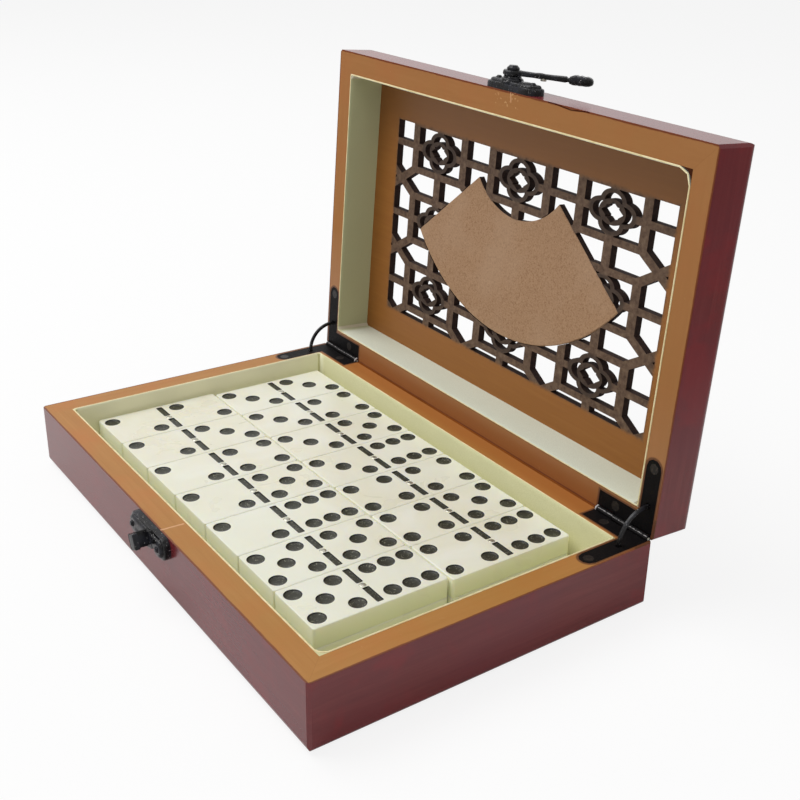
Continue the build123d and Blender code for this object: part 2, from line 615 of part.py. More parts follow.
# The arm is drawn level, pointing along +X from the pivot, and then turned.
mid_t = ARM_OFF + ARM_BAR_T / 2
eye = peg_y(EYE_R, -HALF_D - ARM_OFF - ARM_BAR_T, -HALF_D - ARM_OFF, 0, 0, LOBE_SIDES)
arm_bar = along_arm(2.0, ARM_REACH - GRIP_L + 1, -half_bar, half_bar, ARM_OFF, ARM_OFF + ARM_BAR_T)
arm_bar = chamfer(arm_bar.edges().filter_by(Axis.X), 0.45)
nub = peg_y(1.1, -HALF_D - ARM_OFF - 0.3, -HALF_D - ARM_OFF + 0.7, 11.5, 0)
grip_pts = [
    (ARM_REACH - GRIP_L, 0.9),
    (ARM_REACH - GRIP_L + 2.2, 2.5),
    (ARM_REACH - 1.6, 2.1),
    (ARM_REACH, 1.3),
]
grip_loop = grip_pts + [(x, -z) for x, z in reversed(grip_pts)]
grip_face = front_plane(ARM_OFF - 0.6) * make_face(Polyline(*grip_loop, close=True))
grip = extrude(grip_face, ARM_BAR_T + 1.7)
grip = chamfer(grip.edges().group_by(Axis.Y)[0], 0.7)
for k in range(3):
    notch_x = ARM_REACH - 5.6 + 1.9 * k
    grip -= block(notch_x, notch_x + 0.7, -HALF_D - 12, -HALF_D - ARM_OFF - ARM_BAR_T - 0.5, -4, 4)
arm = eye + arm_bar + nub + grip
arm -= rod_y(RIVET_R + 0.06, -HALF_D - 12, -HALF_D, 0, 0)
arm = Pos(PIVOT_X, 0, PIVOT_Z) * Rot(0, -ARM_ANGLE, 0) * arm
save("latch_arm", opened(arm.solid()))

save("latch_nails_base", Compound([nail(x, BASE_NAIL_Z) for x in catch_bores]))
save("latch_nails_lid", opened(Compound([nail(x, LID_NAIL_Z) for x in lid_bores])))

# ---------------------------------------------------------------- tiles
# Pip places in one half of a tile: column -1, 0, 1 and row 0 (by the divider) to 2.
PIPS = {
    0: [],
    1: [(0, 1)],
    2: [(-1, 2), (1, 0)],
    3: [(-1, 2), (0, 1), (1, 0)],
    4: [(-1, 0), (1, 0), (-1, 2), (1, 2)],
    5: [(-1, 0), (1, 0), (0, 1), (-1, 2), (1, 2)],
    6: [(-1, 0), (1, 0), (-1, 1), (1, 1), (-1, 2), (1, 2)],
}


def blank_tile():
    body = Box(TILE_W, TILE_L, TILE_T)
    body = chamfer(body.edges(), TILE_BEVEL)
    body = Pos(0, 0, TILE_T / 2) * body
    for s in (-1, 1):
        x0 = s * BAR_GROOVE_GAP / 2
        x1 = s * (BAR_GROOVE_GAP / 2 + BAR_GROOVE_L)
        half_w = BAR_GROOVE_W / 2
        body -= block(x0, x1, -half_w, half_w, TILE_T - GROOVE_DEEP, TILE_T + 1)
    return body


def pip_cuts(far, near):
    """Hollow pips: far is the half towards the hinges, near the half towards the latch."""
    cuts = []
    for value, s in ((far, 1), (near, -1)):
        for col, row in PIPS[value]:
            x = -s * col * PIP_X
            y = s * (PIP_NEAR + PIP_STEP * row)
            cuts.append(Pos(x, y, TILE_T) * spike(PIP_R, PIP_DEEP, PIP_SIDES))
    return cuts


blank = blank_tile()
# Upper layer as in the photo, left to right: (half towards the hinges, half towards the latch).
UPPER_BACK = [(3, 3), (4, 3), (5, 3), (6, 3), (4, 4), (5, 4), (6, 4)]
UPPER_FRONT = [(2, 2), (3, 2), (4, 2), (5, 2), (6, 2), (5, 5), (6, 5)]
# Lower layer: the other fourteen of the set.
LOWER_BACK = [(0, 0), (1, 0), (1, 1), (2, 0), (2, 1), (3, 0), (3, 1)]
LOWER_FRONT = [(4, 0), (4, 1), (5, 0), (5, 1), (6, 0), (6, 1), (6, 6)]


def lay_row(values, left, y, z):
    for i, (far, near) in enumerate(values):
        x = left + TILE_W / 2 + i * TILE_PITCH
        tile = blank
        cuts = pip_cuts(far, near)
        if cuts:
            tile = blank - cuts
        save("tile_%d%d" % (far, near), Pos(x, y, z) * tile)


lay_row(LOWER_FRONT, FRONT_ROW_X, FRONT_ROW_Y, FLOOR_Z)
lay_row(LOWER_BACK, BACK_ROW_X, BACK_ROW_Y, FLOOR_Z)
lay_row(UPPER_FRONT, FRONT_ROW_X, FRONT_ROW_Y, FLOOR_Z + TILE_T)
lay_row(UPPER_BACK, BACK_ROW_X, BACK_ROW_Y, FLOOR_Z + TILE_T)
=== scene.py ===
import math

import bmesh
import bpy
from mathutils import Matrix, Vector
from mathutils.geometry import delaunay_2d_cdt


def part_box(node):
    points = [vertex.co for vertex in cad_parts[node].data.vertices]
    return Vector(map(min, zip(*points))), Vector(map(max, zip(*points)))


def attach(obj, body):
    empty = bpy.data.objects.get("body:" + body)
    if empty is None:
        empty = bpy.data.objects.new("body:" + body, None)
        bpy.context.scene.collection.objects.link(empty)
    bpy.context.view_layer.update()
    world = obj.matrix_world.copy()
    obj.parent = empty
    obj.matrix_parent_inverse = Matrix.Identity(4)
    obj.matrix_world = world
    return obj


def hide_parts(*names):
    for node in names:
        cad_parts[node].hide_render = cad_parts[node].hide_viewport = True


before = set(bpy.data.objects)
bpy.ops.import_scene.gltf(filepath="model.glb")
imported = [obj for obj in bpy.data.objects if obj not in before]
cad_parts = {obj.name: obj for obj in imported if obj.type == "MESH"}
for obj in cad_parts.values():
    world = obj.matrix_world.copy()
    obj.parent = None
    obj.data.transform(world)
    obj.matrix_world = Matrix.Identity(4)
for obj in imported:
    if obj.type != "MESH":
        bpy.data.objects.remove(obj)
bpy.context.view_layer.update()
MM = 0.001

# ---- sizes, in millimetres
HALF_W = 105.0           # half of the box's length
HALF_D = 65.75           # half of its depth
BASE_H = 24.8            # height of the tray
WALL = 8.8               # thickness of the walls
LID_Z = 25.4             # the lid's rim when it is closed
LID_H = 18.2             # height of the lid
HINGE_Y = 65.55          # hinge line
HINGE_Z = 25.1
LID_OPEN = 93.65         # opening angle in degrees
PANEL_T = 3.0            # lattice board
PANEL_Z = LID_Z + LID_H - PANEL_T
TILE_W = 24.25
TILE_L = 50.2
TILE_T = 7.35
# lattice: spacing of the rosettes, frames round them, bar widths, rosette and star sizes
CELL_X, CELL_Y, ROW_Y = 50.5, 30.2, -1.6
FRAME_X, FRAME_Y = 16.3, 9.6
BAR_X, BAR_Y, BAR_DIAG = 4.2, 2.75, 3.4
STRETCH, LOBE_R, LOBE_OFF, RIBBON, RING_R = 1.45, 4.4, 3.75, 1.45, 4.55
STAR_TIP, STAR_SIDE = 3.7, 2.15
WINDOW_X, WINDOW_FRONT, WINDOW_BACK = 80.1, -40.8, 42.0
WINDOW_MID, WINDOW_HALF = 0.6, 41.4
PANEL_X, PANEL_Y = HALF_W - WALL + 3.4, HALF_D - WALL + 3.4
# fan: centre and radii of its arcs, half of its angle in degrees
FAN_Y, FAN_IN, FAN_OUT, FAN_HALF = -47.5, 30.5, 77.5, 50.6
# right hinge leaf: its side arm's middle, half width and tip, and its back leg's inner edges
LEAF_ARM_X, LEAF_ARM_R, LEAF_TIP_Y = 100.25, 3.25, 37.8
LEAF_LEG_X, LEAF_LEG_Y = 78.0, 58.6
# curved stays: centre line, width, thickness, and the thickness and length of a stop head
STAY_R, STAY_W, STAY_T, STAY_HEAD_T, STAY_HEAD = 11.0, 1.2, 1.1, 2.4, 4.1
# latch: middle and length of each plate, the arm's pivot, its two angles, and the hook
CATCH_X, CATCH_L, LID_PLATE_X, LID_PLATE_L = 3.2, 27.4, 5.5, 26.1
PIVOT_X, PIVOT_Z = 3.1, LID_Z + 4.6
ARM_ANGLE, LATCHED_ANGLE = 32.0, -65.8
HOOK_START, HOOK_END, HOOK_OUT = 6.2, 11.8, 9.0
HOOK_BACK, HOOK_FRONT = -2.8, 1.7

LID = (
    Matrix.Translation((0, HINGE_Y * MM, HINGE_Z * MM))
    @ Matrix.Rotation(math.radians(-LID_OPEN), 4, "X")
    @ Matrix.Translation((0, -HINGE_Y * MM, -HINGE_Z * MM))
)


# ---- mesh helpers
link = bpy.context.scene.collection.objects.link


def add_mesh(name, verts, faces, body, mats, face_mat=None, smooth=60.0, lid=False):
    """A piece from points in millimetres; lid turns it with the lid from closed to open."""
    mesh = bpy.data.meshes.new(name)
    mesh.from_pydata([Vector(v) * MM for v in verts], [], faces)
    if lid:
        mesh.transform(LID)
    for m in mats:
        mesh.materials.append(m)
    if face_mat:
        mesh.polygons.foreach_set("material_index", face_mat)
    bm = bmesh.new()
    bm.from_mesh(mesh)
    bmesh.ops.remove_doubles(bm, verts=bm.verts, dist=1e-7)
    bmesh.ops.recalc_face_normals(bm, faces=bm.faces)
    bm.to_mesh(mesh)
    bm.free()
    mesh.polygons.foreach_set("use_smooth", [True] * len(mesh.polygons))
    mesh.set_sharp_from_angle(angle=math.radians(smooth))
    obj = bpy.data.objects.new(name, mesh)
    link(obj)
    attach(obj, body)
    return obj


def weigh(obj):
    obj.modifiers.new("weigh", "WEIGHTED_NORMAL").keep_sharp = True


def ring_points(half_x, half_y, radius, inset, steps):
    """Rounded rectangle, inset from its outline, anticlockwise from the right front corner."""
    r = max(radius - inset, 0.0)
    cx, cy = half_x - inset - r, half_y - inset - r
    pts = []
    for sx, sy, start in ((1, -1, -90), (1, 1, 0), (-1, 1, 90), (-1, -1, 180)):
        for k in range(steps + 1):
            a = math.radians(start + 90.0 * k / steps)
            pts.append((sx * cx + r * math.cos(a), sy * cy + r * math.sin(a)))
    return pts


def skin(rings, closed_up=False):
    """Quads between rings of equal length; returns (verts, faces)."""
    verts, faces = [], []
    n = len(rings[0])
    for ring in rings:
        verts.extend(ring)
    for i in range(len(rings) - 1):
        for k in range(n):
            j = (k + 1) % n
            a, b = i * n, (i + 1) * n
            faces.append((a + k, a + j, b + j, b + k))
    if closed_up:
        a = len(rings) * n - n
        for k in range(n):
            j = (k + 1) % n
            faces.append((a + k, a + j, j, k))
    return verts, faces


def arc(cx, cy, rx, ry, a0, a1, steps):
    out = []
    for k in range(steps + 1):
        a = math.radians(a0 + (a1 - a0) * k / steps)
        out.append((cx + rx * math.cos(a), cy + ry * math.sin(a)))
    return out


def flat_fill(loops, inside):
    """Triangles of the plane cut by the loops, kept where inside(x, y) is true."""
    pts, edges = [], []
    for loop in loops:
        start = len(pts)
        pts.extend(Vector(p) for p in loop)
        n = len(loop)
        edges.extend((start + k, start + (k + 1) % n) for k in range(n))
    out = delaunay_2d_cdt(pts, edges, [], 0, 1e-5)
    verts, tris = out[0], out[2]
    kept = []
    for t in tris:
        c = (verts[t[0]] + verts[t[1]] + verts[t[2]]) / 3
        if inside(c.x, c.y):
            kept.append(tuple(t))
    return [(v.x, v.y) for v in verts], kept


def slab(points, tris, z0, z1):
    """Both faces of a flat board and the walls round its edge; returns verts, faces, kinds."""
    n = len(points)
    verts = [(x, y, z1) for x, y in points] + [(x, y, z0) for x, y in points]
    faces = [tuple(t) for t in tris] + [tuple(v + n for v in reversed(t)) for t in tris]
    kinds = [0] * len(tris) + [1] * len(tris)
    seen = {}
    for t in tris:
        for a, b in ((t[0], t[1]), (t[1], t[2]), (t[2], t[0])):
            seen[(a, b)] = seen.get((a, b), 0) + 1
    for a, b in seen:
        if (b, a) not in seen:
            faces.append((a, a + n, b + n, b))
            kinds.append(2)
    return verts, faces, kinds


# ---- material helpers
def linear(c):
    c = c / 255.0
    return c / 12.92 if c <= 0.04045 else ((c + 0.055) / 1.055) ** 2.4


def rgb(r, g, b):
    return (linear(r), linear(g), linear(b), 1.0)


class Look:
    """A material under construction, with short names for the nodes that it needs."""

    def __init__(self, name, roughness=0.5, **sockets):
        self.mat = bpy.data.materials.new(name)
        self.mat.use_nodes = True
        self.tree = self.mat.node_tree
        self.bsdf = self.tree.nodes["Principled BSDF"]
        self.set("Roughness", roughness)
        for key, value in sockets.items():
            self.set(key.replace("_", " "), value)

    def feed(self, socket, value):
        """Links another node's output, or sets a constant."""
        if hasattr(value, "is_output"):
            self.tree.links.new(value, socket)
        else:
            socket.default_value = value

    def set(self, socket, value):
        self.feed(self.bsdf.inputs[socket], value)

    def node(self, kind, ins=None, **props):
        n = self.tree.nodes.new("ShaderNode" + kind)
        for key, value in props.items():
            setattr(n, key, value)
        for key, value in (ins or {}).items():
            self.feed(n.inputs[key], value)
        return n

    def coords(self, scale=(1, 1, 1), turn=(0, 0, 0), shift=(0, 0, 0)):
        """Object coordinates in millimetres."""
        tc = self.node("TexCoord")
        mm = self.node("Mapping", {"Vector": tc.outputs["Object"], "Scale": (1000, 1000, 1000)})
        ins = {"Vector": mm.outputs[0], "Location": shift, "Rotation": turn, "Scale": scale}
        return self.node("Mapping", ins).outputs[0]

    def noise(self, vec, scale, detail=3.0, rough=0.5, distort=0.0):
        ins = {"Vector": vec, "Scale": scale, "Detail": detail, "Roughness": rough, "Distortion": distort}
        return self.node("TexNoise", ins).outputs["Fac"]

    def ramp(self, fac, *stops):
        n = self.node("ValToRGB", {"Fac": fac})
        cr = n.color_ramp
        while len(cr.elements) < len(stops):
            cr.elements.new(0.5)
        for e, (pos, col) in zip(cr.elements, stops):
            e.position = pos
            e.color = col if len(col) == 4 else (*col, 1.0)
        return n.outputs["Color"]

    def step(self, value, lo, hi, invert=False):
        """0 below lo and 1 above hi."""
        n = self.node("MapRange", {"Value": value, "From Min": lo, "From Max": hi})
        n.interpolation_type = "SMOOTHSTEP"
        if invert:
            n.inputs["To Min"].default_value, n.inputs["To Max"].default_value = 1.0, 0.0
        return n.outputs["Result"]

    def math(self, op, a, b=0.0, c=0.0):
        n = self.node("Math", operation=op)
        for k, v in enumerate((a, b, c)):
            self.feed(n.inputs[k], v)
        return n.outputs[0]

    def mul(self, a, b):
        return self.math("MULTIPLY", a, b)

    def add(self, a, b):
        return self.math("ADD", a, b)

    def sub(self, a, b):
        return self.math("SUBTRACT", a, b)

    def fma(self, a, b, c):
        """a times b plus c"""
        return self.math("MULTIPLY_ADD", a, b, c)

    def squares(self, a, b):
        return self.add(self.mul(a, a), self.mul(b, b))

    def mix(self, fac, a, b):
        n = self.node("Mix", data_type="RGBA")
        for socket, v in ((n.inputs[0], fac), (n.inputs[6], a), (n.inputs[7], b)):
            self.feed(socket, v)
        return n.outputs[2]

    def tint(self, base, mask, share, colour):
        """The base colour with a share of another one where the mask is 1."""
        return self.mix(self.mul(mask, share), base, colour)

    def split(self, vec):
        return self.node("SeparateXYZ", {"Vector": vec}).outputs

    def tilted(self, z):
        """The surface normal with z added upwards."""
        normal = self.node("NewGeometry").outputs["Normal"]
        lift = self.node("CombineXYZ", {"Z": z}).outputs[0]
        total = self.node("VectorMath", {0: normal, 1: lift}).outputs[0]
        return self.node("VectorMath", {0: total}, operation="NORMALIZE").outputs[0]

    def lifted(self, rise):
        """The surface normal turned towards the sky, less so where it faces right."""
        normal = self.node("NewGeometry").outputs["Normal"]
        right = self.math("MAXIMUM", self.split(normal)[0], 0.0)
        return self.tilted(self.fma(right, -0.7 * rise, rise))

    def bump(self, height, strength, distance, normal=None):
        ins = {"Height": height, "Strength": strength, "Distance": distance * MM}
        if normal is not None:
            ins["Normal"] = normal
        self.set("Normal", self.node("Bump", ins).outputs[0])


def grain(look, vec, axis):
    """Stretched noise along one axis: 0 for X, 1 for Y, 2 for Z."""
    scale = [0.22, 0.22, 0.22]
    scale[axis] = 0.012
    m = look.node("Mapping", {"Vector": vec, "Scale": tuple(scale)})
    return look.noise(m.outputs[0], 2.4, 6.0, 0.62, 0.6)


LID_TURN = (math.radians(LID_OPEN), 0, 0)


def closed_coords(look):
    """Coordinates in millimetres of the closed lid, for a piece of the open lid."""
    c, s = math.cos(math.radians(LID_OPEN)), math.sin(math.radians(LID_OPEN))
    back_y = HINGE_Y - (c * HINGE_Y - s * HINGE_Z)
    back_z = HINGE_Z - (s * HINGE_Y + c * HINGE_Z)
    return look.coords(turn=LID_TURN, shift=(0, back_y, back_z))


def segment_mask(look, x, y, a, b, width, wobble):
    """1 on the line from a to b in the plane of x and y, 0 away from it."""
    ux, uy = b[0] - a[0], b[1] - a[1]
    d = math.hypot(ux, uy)
    ux, uy = ux / d, uy / d
    px, py = look.sub(x, a[0]), look.sub(y, a[1])
    along = look.add(look.mul(px, ux), look.mul(py, uy))
    off = look.sub(look.mul(py, ux), look.mul(px, uy))
    off = look.math("ABSOLUTE", look.add(off, wobble))
    soft = 0.3
    inside = look.mul(look.step(along, -soft, soft), look.step(along, d - soft, d + soft, invert=True))
    return look.mul(inside, look.step(off, width * 0.35, width, invert=True))


def lacquered(name, lid, axis):
    """Maroon gloss lacquer outside, caramel satin on the rim; axis is the grain's direction."""
    look = Look(name, 0.22)
    pos = closed_coords(look) if lid else look.coords()
    x, y, z = look.split(pos)
    if lid:
        rim = look.step(z, LID_Z + 0.10, LID_Z + 0.16, invert=True)
    else:
        rim = look.step(z, BASE_H - 0.16, BASE_H - 0.10)
    g = grain(look, pos, axis)
    broad = look.noise(pos, 0.018, 2.0)
    blotch = look.noise(pos, 0.07, 3.0, 0.5)
    fine = look.noise(pos, 1.6, 4.0, 0.6)
    speck = look.noise(pos, 0.35, 5.0, 0.7)
    red = look.ramp(g, (0.30, rgb(100, 30, 30)), (0.52, rgb(110, 36, 35)), (0.75, rgb(120, 44, 42)))
    red = look.tint(red, look.step(broad, 0.35, 0.7), 0.5, rgb(108, 38, 48))
    patch = look.step(look.noise(pos, 0.045, 4.0, 0.6, 0.5), 0.5, 0.68)
    red = look.tint(red, patch, 0.55, rgb(128, 32, 36))
    tan = look.ramp(g, (0.30, rgb(172, 118, 60)), (0.5, rgb(178, 124, 65)), (0.72, rgb(183, 129, 70)))
    tan = look.tint(tan, look.step(blotch, 0.42, 0.72), 0.6, rgb(186, 116, 60))
    tan = look.tint(tan, look.step(broad, 0.45, 0.75), 0.5, rgb(168, 122, 58))
    # painted shade: the lid's rim is a darker copy of the tray's caramel
    if lid:
        tan = look.mix(0.55, tan, rgb(160, 112, 80))
    # painted shade: both rims darker towards the hinge, where tray and open lid shade each other
    painted_hinge_shade = look.step(y, 54.0, 62.0)
    tan = look.tint(tan, painted_hinge_shade, 0.8, rgb(148, 88, 38) if lid else rgb(162, 98, 42))
    tan = look.tint(tan, look.step(speck, 0.66, 0.76), 0.35, rgb(200, 156, 108))
    tan = look.tint(tan, look.step(fine, 0.62, 0.85), 0.2, rgb(140, 92, 52))
    # the two boards meet in a fine mitre line on the rim
    ax, ay = look.math("ABSOLUTE", x), look.math("ABSOLUTE", y)
    off = look.sub(look.sub(ax, ay), HALF_W - HALF_D)
    line = look.step(look.math("ABSOLUTE", off), 0.03, 0.12, invert=True)
    tan = look.tint(tan, line, 0.22, rgb(110, 66, 40))
    # the lacquer ends in a dark line at the rim's outer edge
    wander = look.fma(blotch, 0.5, -0.25)
    rag = look.fma(speck, 0.4, wander)
    edge_x = look.sub(ax, HALF_W - 0.55)
    edge_y = look.sub(ay, HALF_D - 0.55)
    edge = look.step(look.add(look.math("MAXIMUM", edge_x, edge_y), rag), 0.0, 0.35)
    tan = look.tint(tan, edge, 0.8, rgb(104, 46, 34))
    # painted shade: the wood darkens round the let-in hinge leaves, in the gaps beside them
    px = look.sub(ax, LEAF_ARM_X)
    py = look.math("MAXIMUM", look.sub(LEAF_TIP_Y + LEAF_ARM_R, y), 0.0)
    arm = look.sub(look.math("SQRT", look.squares(px, py)), LEAF_ARM_R)
    leg = look.math("MAXIMUM", look.sub(LEAF_LEG_X, ax), look.sub(LEAF_LEG_Y, y))
    away = look.add(look.math("MINIMUM", arm, leg), look.mul(rag, 0.6))
    stain_and_shade = look.step(away, 0.6, 1.25, invert=True)
    tan = look.tint(tan, stain_and_shade, 0.85, rgb(92, 56, 38))
    # scratches, a crack in the lacquer and pale dust beside the latch
    wobble = look.fma(look.noise(pos, 0.5, 2.0), 1.2, -0.6)
    if lid:
        drift = look.mul(wobble, 0.3)
        scratch = segment_mask(look, x, y, (8.4, -65.6), (9.0, -62.2), 0.36, drift)
        bow = look.mul(look.step(look.math("ABSOLUTE", look.sub(x, 40.0)), 0.0, 9.0), 0.7)
        bend = look.fma(wobble, 0.35, bow)
        crack = segment_mask(look, x, y, (28.5, -64.9), (49.0, -64.9), 0.32, bend)
        tan = look.tint(tan, crack, 0.95, rgb(62, 26, 18))
        grit = look.step(look.noise(pos, 0.9, 2.0), 0.62, 0.66)
        dust = look.mul(grit, look.step(y, -61.0, -60.0, invert=True))
        beside = look.step(look.math("ABSOLUTE", look.sub(x, 6.0)), 6.0, 8.0, invert=True)
        tan = look.tint(tan, look.mul(dust, beside), 0.6, rgb(214, 170, 120))
    else:
        drift = look.mul(wobble, 0.5)
        scratch = segment_mask(look, x, y, (9.2, -65.7), (9.7, -57.6), 0.55, drift)
    tan = look.tint(tan, scratch, 0.75, rgb(226, 176, 134))
    chip = look.mul(look.step(speck, 0.70, 0.76), look.step(fine, 0.5, 0.6))
    red = look.tint(red, chip, 0.35, rgb(150, 90, 84))
    col = look.mix(rim, red, tan)
    # rounded inner corners belong to the liner
    deep_x, deep_y = look.sub(HALF_W - WALL, ax), look.sub(HALF_D - WALL, ay)
    inner = look.step(look.math("MINIMUM", deep_x, deep_y), 0.02, 0.08)
    if lid:
        corner = look.mul(look.step(x, 80, 81), look.step(y, -50, -49, invert=True))
        lining = look.mix(corner, rgb(205, 199, 176), rgb(70, 38, 24))
    else:
        lining = look.mix(fine, rgb(196, 192, 140), rgb(226, 222, 180))
    look.set("Base Color", look.mix(inner, col, lining))
    rough = look.fma(rim, 0.24, 0.16)
    rough = look.math("MAXIMUM", rough, look.mul(inner, 0.95))
    look.set("Roughness", look.fma(fine, 0.10, rough))
    shine = look.fma(look.step(y, -5, 68), 0.46, 0.14) if lid else 0.46
    shine = look.fma(rim, -0.2, shine)
    look.set("Specular IOR Level", look.mul(shine, look.sub(1.0, inner)))
    look.bump(look.fma(g, 0.6, fine), 0.2, 0.03)
    return look.mat


def flocked(name, low, mid, high, stain_and_shade, rise):
    """Short dense fibres; rise turns the shading upwards, as fibres that stand up do."""
    look = Look(name, 0.95, Sheen_Weight=0.25, Sheen_Roughness=0.6, Specular_IOR_Level=0.15)
    pos = look.coords()
    broad = look.noise(pos, 0.03, 3.0)
    fuzz = look.noise(pos, 3.2, 6.0, 0.7)
    col = look.ramp(fuzz, (0.30, low), (0.55, mid), (0.8, high))
    col = look.tint(col, look.step(broad, 0.4, 0.7), 0.5, stain_and_shade)
    # painted light and shade on the left side's liner: lighter in the tray, darker in the lid
    left = look.step(look.split(pos)[0], -94.0, -90.0, invert=True)
    if rise:
        col = look.tint(col, left, 0.9, rgb(250, 248, 214))
    else:
        col = look.tint(col, left, 0.7, rgb(168, 168, 112))
    look.set("Base Color", col)
    look.bump(fuzz, 0.5, 0.1, look.lifted(rise))
    return look.mat


def speckled(name, rough, noise, stops, strength, distance, **sockets):
    """Plain material with a speckled colour and the same specks in relief."""
    look = Look(name, rough, **sockets)
    n = look.noise(look.coords(), *noise)
    look.set("Base Color", look.ramp(n, *stops))
    look.bump(n, strength, distance)
    return look.mat


def ivory():
    look = Look("ivory_tile", 0.24, Subsurface_Weight=0.45, Subsurface_Scale=0.003)
    look.set("Subsurface Radius", (1.0, 0.85, 0.5))
    pos = look.coords()
    cloud = look.noise(pos, 0.05, 3.0, 0.5, 0.8)
    wide = look.noise(pos, 0.012, 2.0)
    speck = look.noise(pos, 0.5, 4.0, 0.6)
    col = look.ramp(cloud, (0.32, rgb(234, 231, 210)), (0.55, rgb(238, 236, 219)), (0.75, rgb(242, 241, 228)))
    col = look.tint(col, look.step(wide, 0.4, 0.65), 0.6, rgb(238, 240, 224))
    col = look.tint(col, look.step(speck, 0.64, 0.8), 0.12, rgb(222, 214, 184))
    tc = look.node("TexCoord")
    up = look.split(tc.outputs["Normal"])[2]
    side = look.step(up, -0.1, 0.35, invert=True)
    # painted light: the tiles' sides get lighter towards the top edge of each tile
    z = look.split(pos)[2]
    share = look.math("FRACT", look.math("DIVIDE", look.sub(z, 3.8), TILE_T))
    low = look.ramp(share, (0.1, rgb(236, 238, 196)), (0.6, rgb(240, 241, 206)), (0.95, rgb(242, 242, 216)))
    look.set("Base Color", look.mix(side, col, low))
    look.set("Roughness", look.fma(cloud, 0.2, 0.2))
    look.set("Specular IOR Level", look.fma(side, -0.3, 0.45))
    look.bump(speck, 0.1, 0.03, look.tilted(look.mul(side, 0.55)))
    return look.mat


def black_paint():
    """Glossy paint in the pips and bars: near black walls and a greyer floor in painted shade, with pale
    painted highlights.
    """
    look = Look("black_pip_paint", 0.3, Specular_IOR_Level=0.25)
    pos = look.coords()
    n = look.noise(pos, 1.4, 4.0, 0.6)
    highlight_noise = look.noise(pos, 1.0, 3.0, 0.7, 1.2)
    tc = look.node("TexCoord")
    up = look.split(tc.outputs["Normal"])[2]
    # painted shade: darker where the dish's wall is steep, greyer on its flat floor
    col = look.ramp(up, (0.55, rgb(16, 16, 13)), (0.86, rgb(30, 30, 25)), (0.98, rgb(58, 58, 48)))
    # painted highlights: pale spots on the dish's floor
    pale = look.mul(look.step(highlight_noise, 0.57, 0.66), look.step(up, 0.86, 0.97))
    col = look.tint(col, pale, 0.75, rgb(150, 150, 132))
    look.set("Base Color", look.tint(col, n, 0.3, rgb(12, 12, 10)))
    look.bump(n, 0.6, 0.08)
    return look.mat


def black_metal(name, glint, rough):
    """Black enamel with small waves in relief; painted glints and painted reflection on the castings, a
    painted highlight on the leaves' barrels.
    """
    look = Look(name, rough, Specular_IOR_Level=glint)
    pos = look.coords()
    n = look.noise(pos, 0.7, 5.0, 0.6)
    wave = look.noise(pos, 1.5, 2.0, 0.5)
    fine = look.noise(pos, 3.5, 3.0, 0.6)
    col = look.ramp(n, (0.3, rgb(8, 7, 8)), (0.62, rgb(13, 11, 12)), (0.85, rgb(28, 22, 20)))
    if glint < 0.2:
        # painted highlight along the barrel and a painted glint at its inner end
        x, y, z = look.split(pos)
        dy, dz = look.sub(HINGE_Y, y), look.sub(z, HINGE_Z)
        barrel = look.step(look.squares(dy, dz), 1.75, 1.95, invert=True)
        lean = look.add(look.mul(dy, 0.60), look.mul(dz, 0.80))
        line = look.step(lean, 1.21, 1.29)
        line = look.mul(line, look.step(wave, 0.3, 0.75))
        tip_glint = look.step(look.math("ABSOLUTE", x), 78.6, 78.9, invert=True)
        line = look.math("MAXIMUM", line, look.mul(tip_glint, look.step(lean, 0.5, 0.8)))
        col = look.mix(look.mul(barrel, line), col, rgb(190, 186, 186))
    else:
        # painted reflection in bluish patches, and painted glints as pale flecks
        broad = look.noise(pos, 0.3, 2.0, 0.5)
        col = look.mix(look.step(broad, 0.4, 0.7), col, rgb(34, 35, 42))
        painted_glint = look.step(look.noise(pos, 1.1, 3.0, 0.7, 1.0), 0.64, 0.68)
        col = look.tint(col, painted_glint, 0.75, rgb(196, 194, 192))
    look.set("Base Color", col)
    look.set("Roughness", look.fma(n, 0.25, rough))
    look.bump(look.fma(wave, 3.0, fine), 0.3 if glint > 0.2 else 0.5, 0.08)
    return look.mat


def stained_board():
    """Face of the lattice board: orange-brown border, greyer smoked bars in the cut area."""
    look = Look("stained_board", 0.45, Specular_IOR_Level=0.3)
    pos = closed_coords(look)
    x, y = look.split(pos)[:2]
    ax = look.math("ABSOLUTE", x)
    cy = look.math("ABSOLUTE", look.sub(y, WINDOW_MID))
    out = look.math("MAXIMUM", look.sub(ax, WINDOW_X), look.sub(cy, WINDOW_HALF))
    n = look.noise(pos, 0.5, 5.0, 0.65)
    ragged = look.fma(n, 2.0, -1.0)
    cut = look.step(look.add(out, ragged), -1.0, 1.2, invert=True)
    g = grain(look, pos, 0)
    soft = look.fma(look.sub(g, 0.5), 0.45, 0.5)
    board = look.ramp(soft, (0.3, rgb(146, 92, 40)), (0.5, rgb(154, 99, 44)), (0.75, rgb(166, 110, 53)))
    # painted shade: the board darker towards the lid's front edge, which is its top when open
    painted_top_shade = look.step(y, -10.0, -56.0)
    board = look.tint(board, painted_top_shade, 0.75, rgb(122, 80, 44))
    bars = look.ramp(n, (0.3, rgb(74, 54, 42)), (0.55, rgb(104, 82, 66)), (0.8, rgb(132, 110, 90)))
    # rosettes are scorched darker than the straight bars
    px = look.sub(x, look.mul(look.math("ROUND", look.math("DIVIDE", x, CELL_X)), CELL_X))
    yy = look.add(y, -ROW_Y)
    py = look.sub(yy, look.mul(look.math("ROUND", look.math("DIVIDE", yy, CELL_Y)), CELL_Y))
    px = look.math("DIVIDE", px, STRETCH)
    far = look.math("SQRT", look.squares(px, py))
    scorch = look.step(far, 7.4, 8.8, invert=True)
    bars = look.tint(bars, scorch, 0.7, rgb(46, 36, 32))
    look.set("Base Color", look.mix(cut, board, bars))
    look.set("Roughness", look.fma(cut, 0.25, 0.42))
    look.bump(look.add(g, n), 0.2, 0.05)
    return look.mat


